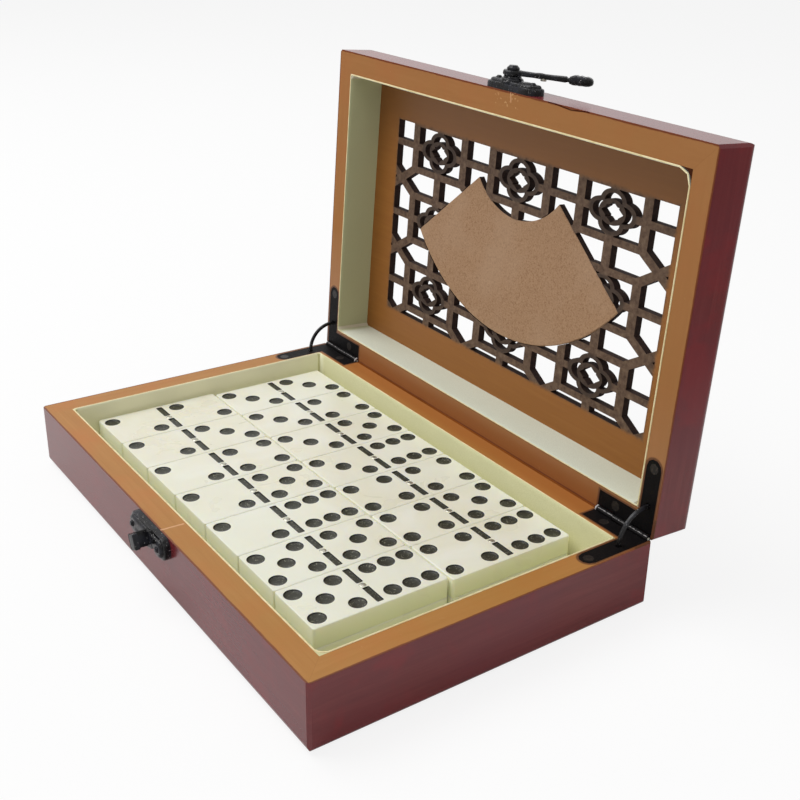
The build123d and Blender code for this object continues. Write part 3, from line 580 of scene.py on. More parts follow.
def raw_fibre():
    look = Look("raw_fibreboard", 0.9, Specular_IOR_Level=0.2)
    pos = look.coords()
    speck = look.noise(pos, 1.5, 6.0, 0.8)
    spot = look.noise(pos, 0.8, 3.0, 0.6)
    broad = look.noise(pos, 0.05, 3.0, 0.5)
    col = look.ramp(speck, (0.30, rgb(120, 86, 60)), (0.45, rgb(168, 132, 102)), (0.7, rgb(190, 156, 124)))
    col = look.tint(col, look.step(spot, 0.56, 0.70), 0.4, rgb(128, 92, 66))
    col = look.tint(col, look.step(broad, 0.45, 0.7), 0.3, rgb(190, 160, 134))
    look.set("Base Color", col)
    look.bump(speck, 0.45, 0.12)
    return look.mat


# plain dark matte brown for the strip that stands in for the shade in the back seam
def seam_shade_look():
    look = Look("seam_shade_brown", 0.8, Specular_IOR_Level=0.0)
    pos = look.coords()
    g = grain(look, pos, 0)
    look.set("Base Color", look.ramp(g, (0.3, rgb(112, 62, 28)), (0.7, rgb(136, 78, 36))))
    look.bump(g, 0.2, 0.03)
    return look.mat


FLOCK = flocked(
    "tray_flock", rgb(206, 203, 150), rgb(222, 219, 172), rgb(234, 231, 190), rgb(214, 212, 164), 0.5
)
LID_FLOCK = flocked(
    "lid_flock", rgb(200, 203, 182), rgb(218, 222, 204), rgb(230, 233, 218), rgb(210, 214, 193), 0.0
)
CARD = speckled(
    "cream_card_edge", 0.7, (0.35, 4.0, 0.6), [(0.3, rgb(226, 208, 150)), (0.6, rgb(246, 234, 190))],
    0.3, 0.05,
)
STEEL = speckled(
    "pin_metal", 0.3, (1.2, 4.0, 0.6), [(0.3, rgb(150, 148, 136)), (0.7, rgb(214, 212, 198))], 0.4, 0.06,
    Metallic=0.85,
)
BURNT = speckled(
    "burnt_cut_edge", 0.8, (0.8, 4.0, 0.6), [(0.3, rgb(24, 14, 12)), (0.7, rgb(50, 32, 26))], 0.4, 0.06,
    Specular_IOR_Level=0.15,
)
SCREW = speckled(
    "screw_head_brown", 0.42, (1.1, 4.0, 0.7),
    [(0.4, rgb(16, 13, 12)), (0.58, rgb(34, 28, 25)), (0.74, rgb(86, 72, 62))], 0.4, 0.08,
    Specular_IOR_Level=0.3,
)
IVORY, PIP, BOARD, FIBRE = ivory(), black_paint(), stained_board(), raw_fibre()
BLACK, LEAF = black_metal("black_metal_cast", 0.21, 0.1), black_metal("black_metal_leaf", 0.08, 0.4)
STAY_BLACK = black_metal("black_metal_stay", 0.3, 0.2)
SEAM_SHADE = seam_shade_look()

# ---- CAD nodes that stay
def polish(obj, mat, angle=50.0, bevel=0.0):
    """Gives a CAD node its material, softened edges and soft shading over its small facets."""
    for slot in obj.material_slots:
        slot.material = mat
    weld = obj.modifiers.new("weld", "WELD")
    weld.merge_threshold = 2e-6
    if bevel:
        soft = obj.modifiers.new("soften", "BEVEL")
        soft.width = bevel * MM
        soft.segments = 3
        soft.limit_method = "ANGLE"
        soft.angle_limit = math.radians(24)
        soft.use_clamp_overlap = True
        soft.harden_normals = False
    else:
        split = obj.modifiers.new("split", "EDGE_SPLIT")
        split.split_angle = math.radians(angle)
        split.use_edge_sharp = False
    weigh(obj)


LACQUER = {}
for lid in (False, True):
    for axis, word in ((0, "x"), (1, "y")):
        LACQUER[(lid, axis)] = lacquered("lacquer_%s_%s" % ("lid" if lid else "tray", word), lid, axis)
for name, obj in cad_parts.items():
    if name.startswith(("base_wall", "lid_wall")):
        across = 1 if name.endswith(("left", "right")) else 0
        polish(obj, LACQUER[(name.startswith("lid"), across)])
    elif name == "base_bottom":
        polish(obj, LACQUER[(False, 0)])
    elif name == "base_felt":
        polish(obj, FLOCK)
    elif name in ("latch_catch", "latch_lid_plate", "latch_arm") or name.endswith("_stay"):
        continue  # replaced further down
    elif name.startswith("latch"):
        polish(obj, BLACK, 40.0, 0.3)
    elif name.startswith("hinge"):
        kind = SCREW if "screws" in name else STEEL if name.endswith("_pin") else LEAF
        polish(obj, kind, 40.0)


# ---- tiles
PIPS = {
    0: [],
    1: [(0, 1)],
    2: [(-1, 2), (1, 0)],
    3: [(-1, 2), (0, 1), (1, 0)],
    4: [(-1, 0), (1, 0), (-1, 2), (1, 2)],
    5: [(-1, 0), (1, 0), (0, 1), (-1, 2), (1, 2)],
    6: [(-1, 0), (1, 0), (-1, 1), (1, 1), (-1, 2), (1, 2)],
}
PIP_R, PIP_X, PIP_NEAR, PIP_STEP = 3.1, 7.4, 6.5, 7.25
PIP_DEEP = 0.7
STUD_R = 1.25
EDGE_R, CORNER_R = 0.45, 1.0
BAR_HALF, BAR_FROM, BAR_TO = 1.25, 1.5, 10.6
ROUND_STEPS = 28         # sides of a pip's outline


def domino(name, far, near):
    """Tile with sunk pips and divider; far and near are the values of its two halves."""
    lo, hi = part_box(name)
    mid = (lo + hi) / 2
    ox, oy, oz = mid.x / MM, mid.y / MM, lo.z / MM
    rings = []
    for k in range(5):
        a = math.radians(90.0 * k / 4)
        rings.append((EDGE_R * (1 - math.sin(a)), EDGE_R * (1 - math.cos(a))))
    outline = rings + [(d, TILE_T - z) for d, z in reversed(rings)]
    loops3 = [
        [(x, y, z) for x, y in ring_points(TILE_W / 2, TILE_L / 2, CORNER_R, d, 5)] for d, z in outline
    ]
    verts, faces = skin(loops3)
    count = len(loops3[0])
    faces.append(tuple(reversed(range(count))))
    kinds = [0] * len(faces)

    rounds = []
    for value, s in ((far, 1), (near, -1)):
        for col, row in PIPS[value]:
            rounds.append((-s * col * PIP_X, s * (PIP_NEAR + PIP_STEP * row), PIP_R))
    stud = (0.0, 0.0, STUD_R)
    bars = [(-BAR_TO, -BAR_FROM), (BAR_FROM, BAR_TO)]
    top = [(x, y) for x, y, z in loops3[-1]]
    loops = [top]
    for cx, cy, r in rounds + [stud]:
        loops.append(arc(cx, cy, r, r, 0, 360, ROUND_STEPS)[:-1])
    for x0, x1 in bars:
        loops.append(bar_loop(x0, x1, 0.0))

    def solid(x, y):
        for cx, cy, r in rounds + [stud]:
            if math.hypot(x - cx, y - cy) < r * 0.995:
                return False
        return not any(x0 < x < x1 and abs(y) < BAR_HALF for x0, x1 in bars)

    pts, tris = flat_fill(loops, solid)
    base = len(verts)
    verts += [(x, y, TILE_T) for x, y in pts]
    faces += [tuple(v + base for v in t) for t in tris]
    kinds += [0] * len(tris)

    def sink(loops3, mats):
        """Adds a closed hollow; mats has the material of each ring, and the last one's goes on."""
        n = len(loops3[0])
        vs, fs = skin(loops3)
        start = len(verts)
        verts.extend(vs)
        faces.extend(tuple(v + start for v in f) for f in fs)
        last = start + len(vs) - n
        faces.append(tuple(range(last, last + n)))
        kinds.extend([mats[min(i // n, len(mats) - 1)] for i in range(len(fs))] + [mats[-1]])

    def dish(cx, cy, r, profile, mats):
        sink([[(x, y, TILE_T - z) for x, y in arc(cx, cy, r * f, r * f, 0, 360, ROUND_STEPS)[:-1]]
              for f, z in profile], mats)

    bowl = [(1.0, 0.0), (0.975, 0.05), (0.955, 0.16)]
    for k in range(1, 7):
        a = math.radians(90.0 * k / 6.6)
        bowl.append((0.955 * math.cos(a), 0.16 + (PIP_DEEP - 0.16) * math.sin(a)))
    for cx, cy, r in rounds:
        dish(cx, cy, r, bowl, [0, 1, 1])
    pin = [(1.0, 0.0), (0.97, 0.12), (0.93, 0.12), (0.88, 0.0), (0.6, -0.08), (0.2, -0.1)]
    dish(*stud, pin, [0, 1, 2])
    for x0, x1 in bars:
        sink([[(x, y, TILE_T - z) for x, y in bar_loop(x0, x1, d)]
              for d, z in ((0.0, 0.0), (0.07, 0.3), (0.25, 0.42))], [1])

    placed = [(x + ox, y + oy, z + oz) for x, y, z in verts]
    obj = add_mesh("domino_" + name[5:], placed, faces, name, [IVORY, PIP, STEEL], kinds, 50.0)
    weigh(obj)
    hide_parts(name)


def bar_loop(x0, x1, inset):
    """One half of the divider: a short bar with rounded corners."""
    mid, half = (x0 + x1) / 2, (x1 - x0) / 2
    return [(mid + x, y) for x, y in ring_points(half, BAR_HALF, 0.4, inset, 2)]


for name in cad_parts:
    if name.startswith("tile_"):
        domino(name, int(name[5]), int(name[6]))


# ---- lattice board and fan
COLUMNS = [-CELL_X, 0.0, CELL_X]
ROWS = [ROW_Y - CELL_Y, ROW_Y, ROW_Y + CELL_Y]
COMPASS = [(1, 0), (0, 1), (-1, 0), (0, -1)]
CENTRES = [(cx, cy) for cx in COLUMNS for cy in ROWS]


def lattice_bars():
    """Bars as (x0, y0, x1, y1, width)."""
    reach = WINDOW_X + 2
    out = []
    for cx in COLUMNS:
        out.append((cx, WINDOW_FRONT - 2, cx, WINDOW_BACK + 2, BAR_X))
        for cy in ROWS:
            for s in (-1, 1):
                ux = cx + s * FRAME_X
                out.append((ux, cy - FRAME_Y - BAR_Y / 2, ux, cy + FRAME_Y + BAR_Y / 2, BAR_X))
                ly = cy + s * FRAME_Y
                out.append((cx - FRAME_X, ly, cx + FRAME_X, ly, BAR_Y))
    for cy in ROWS:
        out.append((-reach, cy, reach, cy, BAR_Y))
    gx, gy = CELL_X / 2 - FRAME_X, CELL_Y / 2 - FRAME_Y
    for i in range(4):
        kx = (i - 1.5) * CELL_X
        for j in range(3):
            ky = ROW_Y + (j - 0.5) * CELL_Y
            for s in (-1, 1):
                out.append((kx - gx, ky - s * gy, kx + gx, ky + s * gy, BAR_DIAG))
    return out


def bar_corners(b):
    x0, y0, x1, y1, w = b
    d = math.hypot(x1 - x0, y1 - y0)
    nx, ny = -(y1 - y0) / d * w / 2, (x1 - x0) / d * w / 2
    return [(x0 + nx, y0 + ny), (x1 + nx, y1 + ny), (x1 - nx, y1 - ny), (x0 - nx, y0 - ny)]


def in_bar(b, x, y):
    x0, y0, x1, y1, w = b
    d = math.hypot(x1 - x0, y1 - y0)
    u = ((x - x0) * (x1 - x0) + (y - y0) * (y1 - y0)) / d
    v = ((x - x0) * (y1 - y0) - (y - y0) * (x1 - x0)) / d
    return 0 < u < d and abs(v) < w / 2


def in_oval(dx, dy, cx, cy, r):
    return math.hypot(dx / STRETCH - cx, dy - cy) < r


def in_rosette(dx, dy):
    """Solid part of a rosette, from its centre; None outside it."""
    lobes = [in_oval(dx, dy, ex * LOBE_OFF, ey * LOBE_OFF, LOBE_R) for ex, ey in COMPASS]
    if not any(lobes) and not in_oval(dx, dy, 0, 0, LOBE_R):
        return None
    for ex, ey in COMPASS:
        hole = in_oval(dx, dy, ex * LOBE_OFF, ey * LOBE_OFF, LOBE_R - RIBBON)
        if hole and not in_oval(dx, dy, 0, 0, RING_R):
            return False
    u, v = abs(dx) / STRETCH, abs(dy)
    return not (u + v < STAR_TIP or (u < STAR_SIDE and v < STAR_SIDE))


def in_fan(x, y, grow=0.0):
    dx, dy = x, y - FAN_Y
    half = math.radians(FAN_HALF)
    r = math.hypot(dx, dy)
    side = abs(dx) * math.cos(half) - dy * math.sin(half)
    return FAN_IN - grow < r < FAN_OUT + grow and side < grow and dy > 0


def fan_loop(grow):
    """Outline of the fan, moved outwards by grow."""
    half = math.radians(FAN_HALF)
    drop = grow / math.sin(half)

    def cross(radius):
        """Angle at which the side line meets the arc."""
        return half + math.asin(drop * math.sin(half) / radius)

    a_out, a_in = cross(FAN_OUT + grow), cross(FAN_IN - grow)
    loop = []
    for k in range(49):
        a = a_out * (1 - 2 * k / 48)
        loop.append(((FAN_OUT + grow) * math.sin(a), FAN_Y + (FAN_OUT + grow) * math.cos(a)))
    for k in range(25):
        a = -a_in * (1 - 2 * k / 24)
        loop.append(((FAN_IN - grow) * math.sin(a), FAN_Y + (FAN_IN - grow) * math.cos(a)))
    return loop


def oblong(x0, y0, x1, y1):
    return [(x0, y0), (x1, y0), (x1, y1), (x0, y1)]


def lattice():
    """The cut board: its border, bars and rosettes, with an opening for the fan."""
    bars = lattice_bars()
    gap = 0.12
    loops = [
        oblong(-PANEL_X, -PANEL_Y, PANEL_X, PANEL_Y),
        oblong(-WINDOW_X, WINDOW_FRONT, WINDOW_X, WINDOW_BACK),
        fan_loop(gap),
    ]
    loops += [bar_corners(b) for b in bars]
    for cx, cy in CENTRES:
        for ex, ey in COMPASS:
            ox, oy = cx + ex * LOBE_OFF * STRETCH, cy + ey * LOBE_OFF
            loops.append(arc(ox, oy, LOBE_R * STRETCH, LOBE_R, 0, 360, 36)[:-1])
            r = LOBE_R - RIBBON
            loops.append(arc(ox, oy, r * STRETCH, r, 0, 360, 30)[:-1])
        loops.append(arc(cx, cy, RING_R * STRETCH, RING_R, 0, 360, 36)[:-1])
        loops.append([(cx + ex * STAR_TIP * STRETCH, cy + ey * STAR_TIP) for ex, ey in COMPASS])
        q, w = STAR_SIDE * STRETCH, STAR_SIDE
        loops.append(oblong(cx - q, cy - w, cx + q, cy + w))

    def solid(x, y):
        if abs(x) > PANEL_X or abs(y) > PANEL_Y:
            return False
        if in_fan(x, y, gap):
            return False
        if abs(x) > WINDOW_X or not WINDOW_FRONT < y < WINDOW_BACK:
            return True
        for cx, cy in CENTRES:
            if abs(x - cx) < 16 and abs(y - cy) < 10:
                state = in_rosette(x - cx, y - cy)
                if state is not None:
                    return state
        return any(in_bar(b, x, y) for b in bars)

    pts, tris = flat_fill(loops, solid)
    verts, faces, kinds = slab(pts, tris, PANEL_Z, PANEL_Z + PANEL_T)
    kinds = [1 if k == 2 else 0 for k in kinds]
    obj = add_mesh("lattice_board", verts, faces, "lid", [BOARD, BURNT], kinds, 30.0, lid=True)
    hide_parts("lid_fretwork")


def fan_plaque():
    """Raw board in the lattice, with softened edges."""
    low, high = PANEL_Z, PANEL_Z + PANEL_T
    rings = []
    for inset, z in ((0.35, low), (0.0, low + 0.3), (0.0, high - 0.3), (0.35, high)):
        rings.append([(x, y, z) for x, y in fan_loop(-inset)])
    verts, faces = skin(rings)
    n = len(rings[0])
    kinds = [0] * n + [1] * n + [0] * n
    faces.append(tuple(reversed(range(n))))
    faces.append(tuple(range(3 * n, 4 * n)))
    kinds += [0, 0]
    obj = add_mesh("fan_board", verts, faces, "lid", [FIBRE, BURNT], kinds, 35.0, lid=True)
    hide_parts("lid_fan_plaque")


lattice()
fan_plaque()


# ---- liners
def liner_path(corners, wall_gap):
    """Outline as (x, y, inward x, inward y); corners are (radius, steps) from the right front."""
    half_x, half_y = HALF_W - WALL - wall_gap, HALF_D - WALL - wall_gap
    path = []
    for (sx, sy, start), (r, steps) in zip(((1, -1, -90), (1, 1, 0), (-1, 1, 90), (-1, -1, 180)), corners):
        cx, cy = sx * (half_x - r), sy * (half_y - r)
        for k in range(steps + 1):
            a = math.radians(start + 90.0 * k / steps)
            path.append((cx + r * math.cos(a), cy + r * math.sin(a), -math.cos(a), -math.sin(a)))
    full = []
    for k, a in enumerate(path):
        b = path[(k + 1) % len(path)]
        d = math.hypot(b[0] - a[0], b[1] - a[1])
        parts = max(1, int(d / 6.0))
        for p in range(parts):
            t = p / parts
            full.append(tuple(a[i] + (b[i] - a[i]) * t for i in range(4)))
    return full


def strip(name, node, body, z_edge, z_far, corners, lid):
    """Flocked card round the inside; its cut edge is at z_edge."""
    path = liner_path(corners, 0.03)
    sign = 1.0 if z_far > z_edge else -1.0
    tall = abs(z_far - z_edge)
    profile = [(0.0, tall), (0.0, 0.25), (0.06, 0.05), (0.14, 0.0), (0.44, 0.0), (0.52, 0.05)]
    profile += [(0.68, 0.3), (0.8, 0.7), (0.88, 1.3), (0.9, 2.2)]
    profile += [(0.9, tall * k / 8) for k in range(2, 9)]
    rings = []
    for inset, down in profile:
        ring = []
        for x, y, nx, ny in path:
            # the card bulges a little between its corners
            wave = 0.12 * math.sin(x * 0.11 + 1.0) * math.sin(y * 0.13 + 2.0) * min(down / 4.0, 1.0)
            move = max(inset + (wave if inset > 0.5 else 0.0), 0.0)
            ring.append((x + nx * move, y + ny * move, z_edge + sign * down))
        rings.append(ring)
    verts, faces = skin(rings, closed_up=True)
    per = len(path)
    kinds = [1 if 1 <= i // per <= 4 else 0 for i in range(len(faces))]
    obj = add_mesh(name, verts, faces, body, [LID_FLOCK if lid else FLOCK, CARD], kinds, 50.0, lid=lid)
    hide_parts(node)


corners = [(4.0, 7), (1.1, 3), (1.3, 3), (1.3, 3)]
strip("tray_liner", "base_liner", "tray", BASE_H + 0.2, 3.0, corners, False)
corners = [(5.4, 2), (1.1, 3), (1.4, 3), (1.1, 3)]
strip("lid_inner_liner", "lid_liner", "lid", LID_Z - 0.2, PANEL_Z, corners, True)


SEAM_STRIP_HALF = 77.0          # the strip ends short of both hinges


def add_seam_shade_strip():
    """Low dark strip along the tray's back rim, which shuts out the light between tray and open lid and
    stands in for the shade in that seam.
    """
    section = [(65.1, BASE_H - 0.4), (65.72, BASE_H - 0.4), (65.72, BASE_H + 0.36), (65.64, BASE_H + 0.40)]
    section += [(65.45, BASE_H + 0.3), (65.1, BASE_H)]
    rings = []
    for k in range(25):
        x = SEAM_STRIP_HALF * (k / 12 - 1)
        rings.append([(x, y, z) for y, z in section])
    verts, faces = skin(rings)
    n = len(section)
    faces.append(tuple(range(n)))
    faces.append(tuple(reversed(range(24 * n, 25 * n))))
    obj = add_mesh("back_seam_shade_strip", verts, faces, "tray", [SEAM_SHADE], None, 40.0)


add_seam_shade_strip()

# ---- latch
def bow_plate(mid_x, length, heights, up, middle):
    """Domed bow-shaped plate: round ends, a middle lobe, hanging from or standing on the rim."""
    half = length / 2
    lobe, axis_z = 4.15, -4.4       # radius of the round ends, and their height below the rim
    waist_top, waist_low = -0.25, -6.0
    middle_z = -5.3                 # centre of the middle lobe
    samples = 56
    rings = []
    for shrink, out in heights:
        reach = half - shrink
        top_row, low_row = [], []
        for k in range(samples + 1):
            x = -reach * math.cos(math.pi * k / samples)
            top, low = axis_z, axis_z
            for c in (-half + lobe, half - lobe):
                r = lobe - shrink
                if abs(x - c) < r:
                    h = r * max(1.0 - abs((x - c) / r) ** 2.6, 0.0) ** 0.42
                    top, low = max(top, axis_z + h), min(low, axis_z - h)
            if abs(x) <= half - lobe:
                top, low = max(top, waist_top - shrink), min(low, waist_low + shrink)
            r = middle - shrink
            if abs(x) < r:
                low = min(low, middle_z - math.sqrt(r * r - x * x))
            top_row.append((x, top))
            low_row.append((x, low))
        loop = top_row + list(reversed(low_row))
        rings.append([(mid_x + x, -HALF_D - out, LID_Z - z if up else BASE_H + z) for x, z in loop])
    verts, faces = skin(rings)
    n = len(rings[0])
    last = len(verts) - n
    half_n = n // 2
    for k in range(half_n - 1):
        faces.append((last + k, last + k + 1, last + n - 2 - k, last + n - 1 - k))
    return verts, faces


def join(parts):
    verts, faces = [], []
    for vs, fs in parts:
        start = len(verts)
        verts += vs
        faces += [tuple(v + start for v in f) for f in fs]
    return verts, faces


def turned(profile, cx, cz, steps=36):
    """Round boss on the front face from (radius, out) pairs."""
    rings = []
    for r, out in profile:
        rings.append([(x, -HALF_D - out, z) for x, z in arc(cx, cz, r, r, 0, 360, steps)[:-1]])
    verts, faces = skin(rings)
    faces.append(tuple(range(len(verts) - steps, len(verts))))
    return verts, faces


def turn_to(angle, u, v, out):
    """Point u along and v across an arm at this angle, out from the front face."""
    a = math.radians(angle)
    x, z = u * math.cos(a) - v * math.sin(a), u * math.sin(a) + v * math.cos(a)
    return (PIVOT_X + x, -HALF_D - out, PIVOT_Z + z)


def soft_block(u0, u1, v0, v1, o0, o1, edge):
    """Rounded block in the frame of the hooked arm."""
    rings = []
    mu, mv = (u0 + u1) / 2, (v0 + v1) / 2
    for inset, out in ((0, o0), (0, o1 - edge), (0.3 * edge, o1 - 0.3 * edge), (edge, o1)):
        pts = ring_points((u1 - u0) / 2, (v1 - v0) / 2, edge, inset, 3)
        rings.append([turn_to(LATCHED_ANGLE, mu + a, mv + b, out) for a, b in pts])
    verts, faces = skin(rings)
    n = len(rings[0])
    faces.append(tuple(range(3 * n, 4 * n)))
    faces.append(tuple(reversed(range(n))))
    return verts, faces


def latch():
    """Catch with its sideways hook on the tray; plate with boss and arm on the lid."""
    dome = [(0.0, 0.0), (0.0, 1.7), (0.2, 2.15), (0.55, 2.3), (0.95, 2.35)]
    dome += [(1.1, 2.9), (1.45, 3.25), (2.0, 3.38), (3.0, 3.42)]
    plate = bow_plate(CATCH_X, CATCH_L, dome, False, 4.0)
    cheek = soft_block(HOOK_START, HOOK_END, HOOK_BACK, -1.5, 0.5, HOOK_OUT, 0.35)
    lip = soft_block(HOOK_START, HOOK_END, HOOK_BACK, HOOK_FRONT, 7.25, HOOK_OUT, 0.5)
    seat = soft_block(HOOK_START + 0.4, HOOK_END, HOOK_BACK, HOOK_FRONT, 0.0, 3.6, 0.5)
    verts, faces = join([plate, cheek, lip, seat])
    catch = add_mesh("latch_catch_plate", verts, faces, "tray", [BLACK], None, 35.0)
    weigh(catch)
    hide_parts("latch_catch")

    plate = bow_plate(LID_PLATE_X, LID_PLATE_L, dome, True, 3.6)
    steps = [(4.3, 0.0), (4.25, 3.0), (4.0, 3.8), (3.7, 4.1), (3.3, 4.2), (3.2, 4.7), (3.0, 4.88)]
    boss = turned(steps, PIVOT_X, PIVOT_Z)
    swell = turned([(2.6, 3.0), (2.4, 3.55), (1.9, 3.72), (1.0, 3.75)], 11.1, LID_Z + 4.0)
    verts, faces = join([plate, boss, swell])
    lid_plate = add_mesh("latch_top_plate", verts, faces, "lid", [BLACK], None, 35.0, lid=True)
    weigh(lid_plate)
    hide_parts("latch_lid_plate")

    # the arm from pivot to tip: distance, half width, and underside and top out from the face
    sections = [
        (1.2, 1.35, 5.0, 6.95), (3.0, 1.35, 5.0, 6.95), (5.5, 1.2, 5.0, 6.9), (8.0, 1.15, 5.05, 6.85),
        (9.6, 1.35, 5.0, 7.0), (10.6, 1.35, 5.0, 7.0), (11.8, 1.15, 5.0, 6.85), (15.0, 1.2, 5.0, 6.9),
        (17.6, 1.35, 4.95, 7.0), (19.6, 1.35, 4.9, 7.05), (20.3, 0.95, 5.15, 6.6), (20.9, 1.0, 5.15, 6.65),
        (21.2, 1.7, 4.75, 7.2), (22.4, 2.3, 4.45, 7.75), (23.4, 2.45, 4.42, 7.9), (24.2, 2.2, 4.5, 7.6),
        (25.0, 2.4, 4.42, 7.9), (26.2, 2.2, 4.5, 7.6), (27.2, 2.25, 4.45, 7.8), (28.4, 1.9, 4.6, 7.5),
        (29.1, 1.4, 4.9, 7.1), (29.45, 0.7, 5.4, 6.6),
    ]
    rings = []
    for u, w, o0, o1 in sections:
        mo, ho = (o0 + o1) / 2, (o1 - o0) / 2
        ring = []
        for k in range(16):
            a = 2 * math.pi * (k + 0.5) / 16
            ca, sa = math.cos(a), math.sin(a)
            bulge = 1.0 / max(abs(ca), abs(sa)) ** 0.8
            across = w * ca * min(bulge, 1.0 / abs(ca))
            ring.append(turn_to(ARM_ANGLE, u, across, mo + ho * sa * min(bulge, 1.0 / abs(sa))))
        rings.append(ring)
    bar = skin(rings)
    bar[1].append(tuple(range(16)))
    bar[1].append(tuple(range(len(bar[0]) - 16, len(bar[0]))))
    steps = [(1.55, 6.85), (1.55, 5.0), (3.2, 5.0), (3.5, 5.2), (3.6, 5.6), (3.55, 6.4), (3.2, 6.85)]
    eye = turned(steps + [(2.2, 6.9)], PIVOT_X, PIVOT_Z)
    nub = []
    for r, out in ((1.05, 4.35), (1.1, 4.8), (1.1, 5.4)):
        nub.append([turn_to(ARM_ANGLE, 11.5 + x, z, out) for x, z in arc(0, 0, r, r, 0, 360, 18)[:-1]])
    nub = skin(nub)
    nub[1].append(tuple(range(18)))
    verts, faces = join([bar, eye, nub])
    kinds = [0] * (len(bar[1]) + len(eye[1])) + [1] * len(nub[1])
    arm = add_mesh("latch_swing_arm", verts, faces, "arm", [BLACK, STEEL], kinds, 30.0, lid=True)
    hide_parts("latch_arm")


latch()

# ---- stays
def stay(side):
    """Flat curved blade between the leaves, with a small stop head at each end."""
    node = "hinge_%s_stay" % side
    lo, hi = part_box(node)
    mid_x = (lo.x + hi.x) / 2 / MM
    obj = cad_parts[node]
    angles = []
    for v in obj.data.vertices:
        y, z = v.co.y / MM - HINGE_Y, v.co.z / MM - HINGE_Z
        angles.append(math.atan2(z, -y))
    a0, a1 = min(angles), max(angles)
    outer, head_long, neck = STAY_R + STAY_W / 2, math.radians(STAY_HEAD), math.radians(0.1)
    stops = [(a0, STAY_HEAD_T / 2), (a0 + head_long, STAY_HEAD_T / 2)]
    first, last = a0 + head_long + neck, a1 - head_long - neck
    stops += [(first + (last - first) * k / 36, STAY_T / 2) for k in range(37)]
    stops += [(a1 - head_long, STAY_HEAD_T / 2), (a1, STAY_HEAD_T / 2)]
    rings = []
    for a, head in stops:
        swell = math.sin(math.pi * (a - a0) / (a1 - a0)) ** 0.6
        inner = STAY_R - STAY_W / 2 - 0.18 * swell
        edge = 0.18
        section = [
            (inner, -head + edge), (inner + edge, -head), (outer - edge, -head), (outer, -head + edge),
            (outer, head - edge), (outer - edge, head), (inner + edge, head), (inner, head - edge),
        ]
        rings.append([(mid_x + h, HINGE_Y - r * math.cos(a), HINGE_Z + r * math.sin(a)) for r, h in section])
    verts, faces = skin(rings)
    faces.append(tuple(range(8)))
    faces.append(tuple(reversed(range(len(verts) - 8, len(verts)))))
    piece = add_mesh("stay_blade_" + side, verts, faces, "stay_" + side, [STAY_BLACK], None, 35.0)
    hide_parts(node)


stay("left")
stay("right")

# ---- camera
AZ, EL, ROLL = (math.radians(a) for a in (52.257, 23.868, 2.292))
CAM_AT = Vector((326.44, -190.11, 225.04)) * MM
FOCAL_PX, IMAGE_PX = 1156.69, 800.0
CENTRE_U, CENTRE_V = 458.05, 387.16

fwd = Vector((-math.sin(AZ) * math.cos(EL), math.cos(AZ) * math.cos(EL), -math.sin(EL)))
right = Vector((math.cos(AZ), math.sin(AZ), 0))
up = right.cross(fwd)
right_r = math.cos(ROLL) * right + math.sin(ROLL) * up
up_r = -math.sin(ROLL) * right + math.cos(ROLL) * up
cam = bpy.data.objects.new("camera", bpy.data.cameras.new("camera"))
link(cam)
cam.matrix_world = Matrix.Translation(CAM_AT) @ Matrix((right_r, up_r, -fwd)).transposed().to_4x4()
cam.data.sensor_width = 36.0
cam.data.lens = FOCAL_PX / IMAGE_PX * 36.0
cam.data.shift_x = -(CENTRE_U - IMAGE_PX / 2) / IMAGE_PX
cam.data.shift_y = -(IMAGE_PX / 2 - CENTRE_V) / IMAGE_PX
cam.data.clip_start = 0.01
bpy.context.scene.camera = cam

# ---- floor, light
AMBIENT = 0.36           # world light
KEY_POWER = 14.2         # watts of the large lamp above the left front
SIDE_POWER = 1.9         # watts of the weak lamp on the right
FLOOR_WHITE = 0.85       # share of the floor that shows plain white

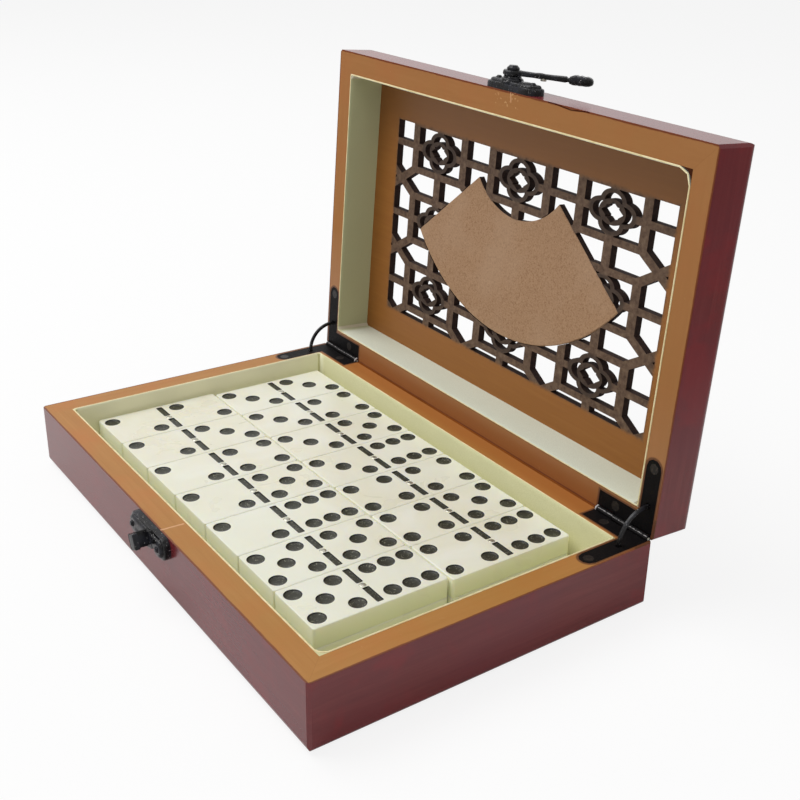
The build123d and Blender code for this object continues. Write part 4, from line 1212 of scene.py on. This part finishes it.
floor_mesh = bpy.data.meshes.new("floor")
reach = 4.0              # half of the floor's side, in metres
corners = [(-reach, -reach, 0), (reach, -reach, 0), (reach, reach, 0), (-reach, reach, 0)]
floor_mesh.from_pydata(corners, [], [(0, 1, 2, 3)])
floor = bpy.data.objects.new("floor", floor_mesh)
link(floor)
floor.location.z = -0.0004
ground = Look("pale_floor", 0.9)
ground.set("Base Color", rgb(250, 250, 250))
ground.set("Specular IOR Level", 0.0)
path = ground.node("LightPath")
glow = ground.node("Emission", {"Color": (1, 1, 1, 1), "Strength": 1.0})
share = ground.math("MULTIPLY", path.outputs["Is Camera Ray"], FLOOR_WHITE)
both = ground.node("MixShader", {0: share, 1: ground.bsdf.outputs[0], 2: glow.outputs[0]})
ground.tree.links.new(both.outputs[0], ground.tree.nodes["Material Output"].inputs["Surface"])
floor_mesh.materials.append(ground.mat)

world = bpy.data.worlds.new("world")
bpy.context.scene.world = world
world.use_nodes = True
tree = world.node_tree
ambient = tree.nodes["Background"]
seen = tree.nodes.new("ShaderNodeBackground")
for shader, strength in ((ambient, AMBIENT), (seen, 1.0)):
    shader.inputs["Color"].default_value = (1, 1, 1, 1)
    shader.inputs["Strength"].default_value = strength
wire = tree.links.new
# camera, glossy and transmission rays see plain white
path = tree.nodes.new("ShaderNodeLightPath")
either = path.outputs["Is Camera Ray"]
for ray in ("Is Glossy Ray", "Is Transmission Ray"):
    more = tree.nodes.new("ShaderNodeMath")
    more.operation = "MAXIMUM"
    wire(either, more.inputs[0])
    wire(path.outputs[ray], more.inputs[1])
    either = more.outputs[0]
blend = tree.nodes.new("ShaderNodeMixShader")
wire(either, blend.inputs[0])
wire(ambient.outputs[0], blend.inputs[1])
wire(seen.outputs[0], blend.inputs[2])
wire(blend.outputs[0], tree.nodes["World Output"].inputs["Surface"])


def lamp(name, at, aim, size, power):
    data = bpy.data.lights.new(name, "AREA")
    data.shape = "RECTANGLE"
    data.size, data.size_y = size
    data.energy = power
    obj = bpy.data.objects.new(name, data)
    link(obj)
    obj.location = at
    obj.rotation_mode = "QUATERNION"
    obj.rotation_quaternion = (Vector(aim) - Vector(at)).to_track_quat("-Z", "Y")


lamp("side", (1.15, -0.35, 0.95), (0, 0, 0.03), (0.7, 0.7), SIDE_POWER)
lamp("key", (-0.55, -0.40, 1.25), (0, 0.02, 0.05), (1.1, 1.1), KEY_POWER)

bpy.context.scene.view_settings.view_transform = "Standard"
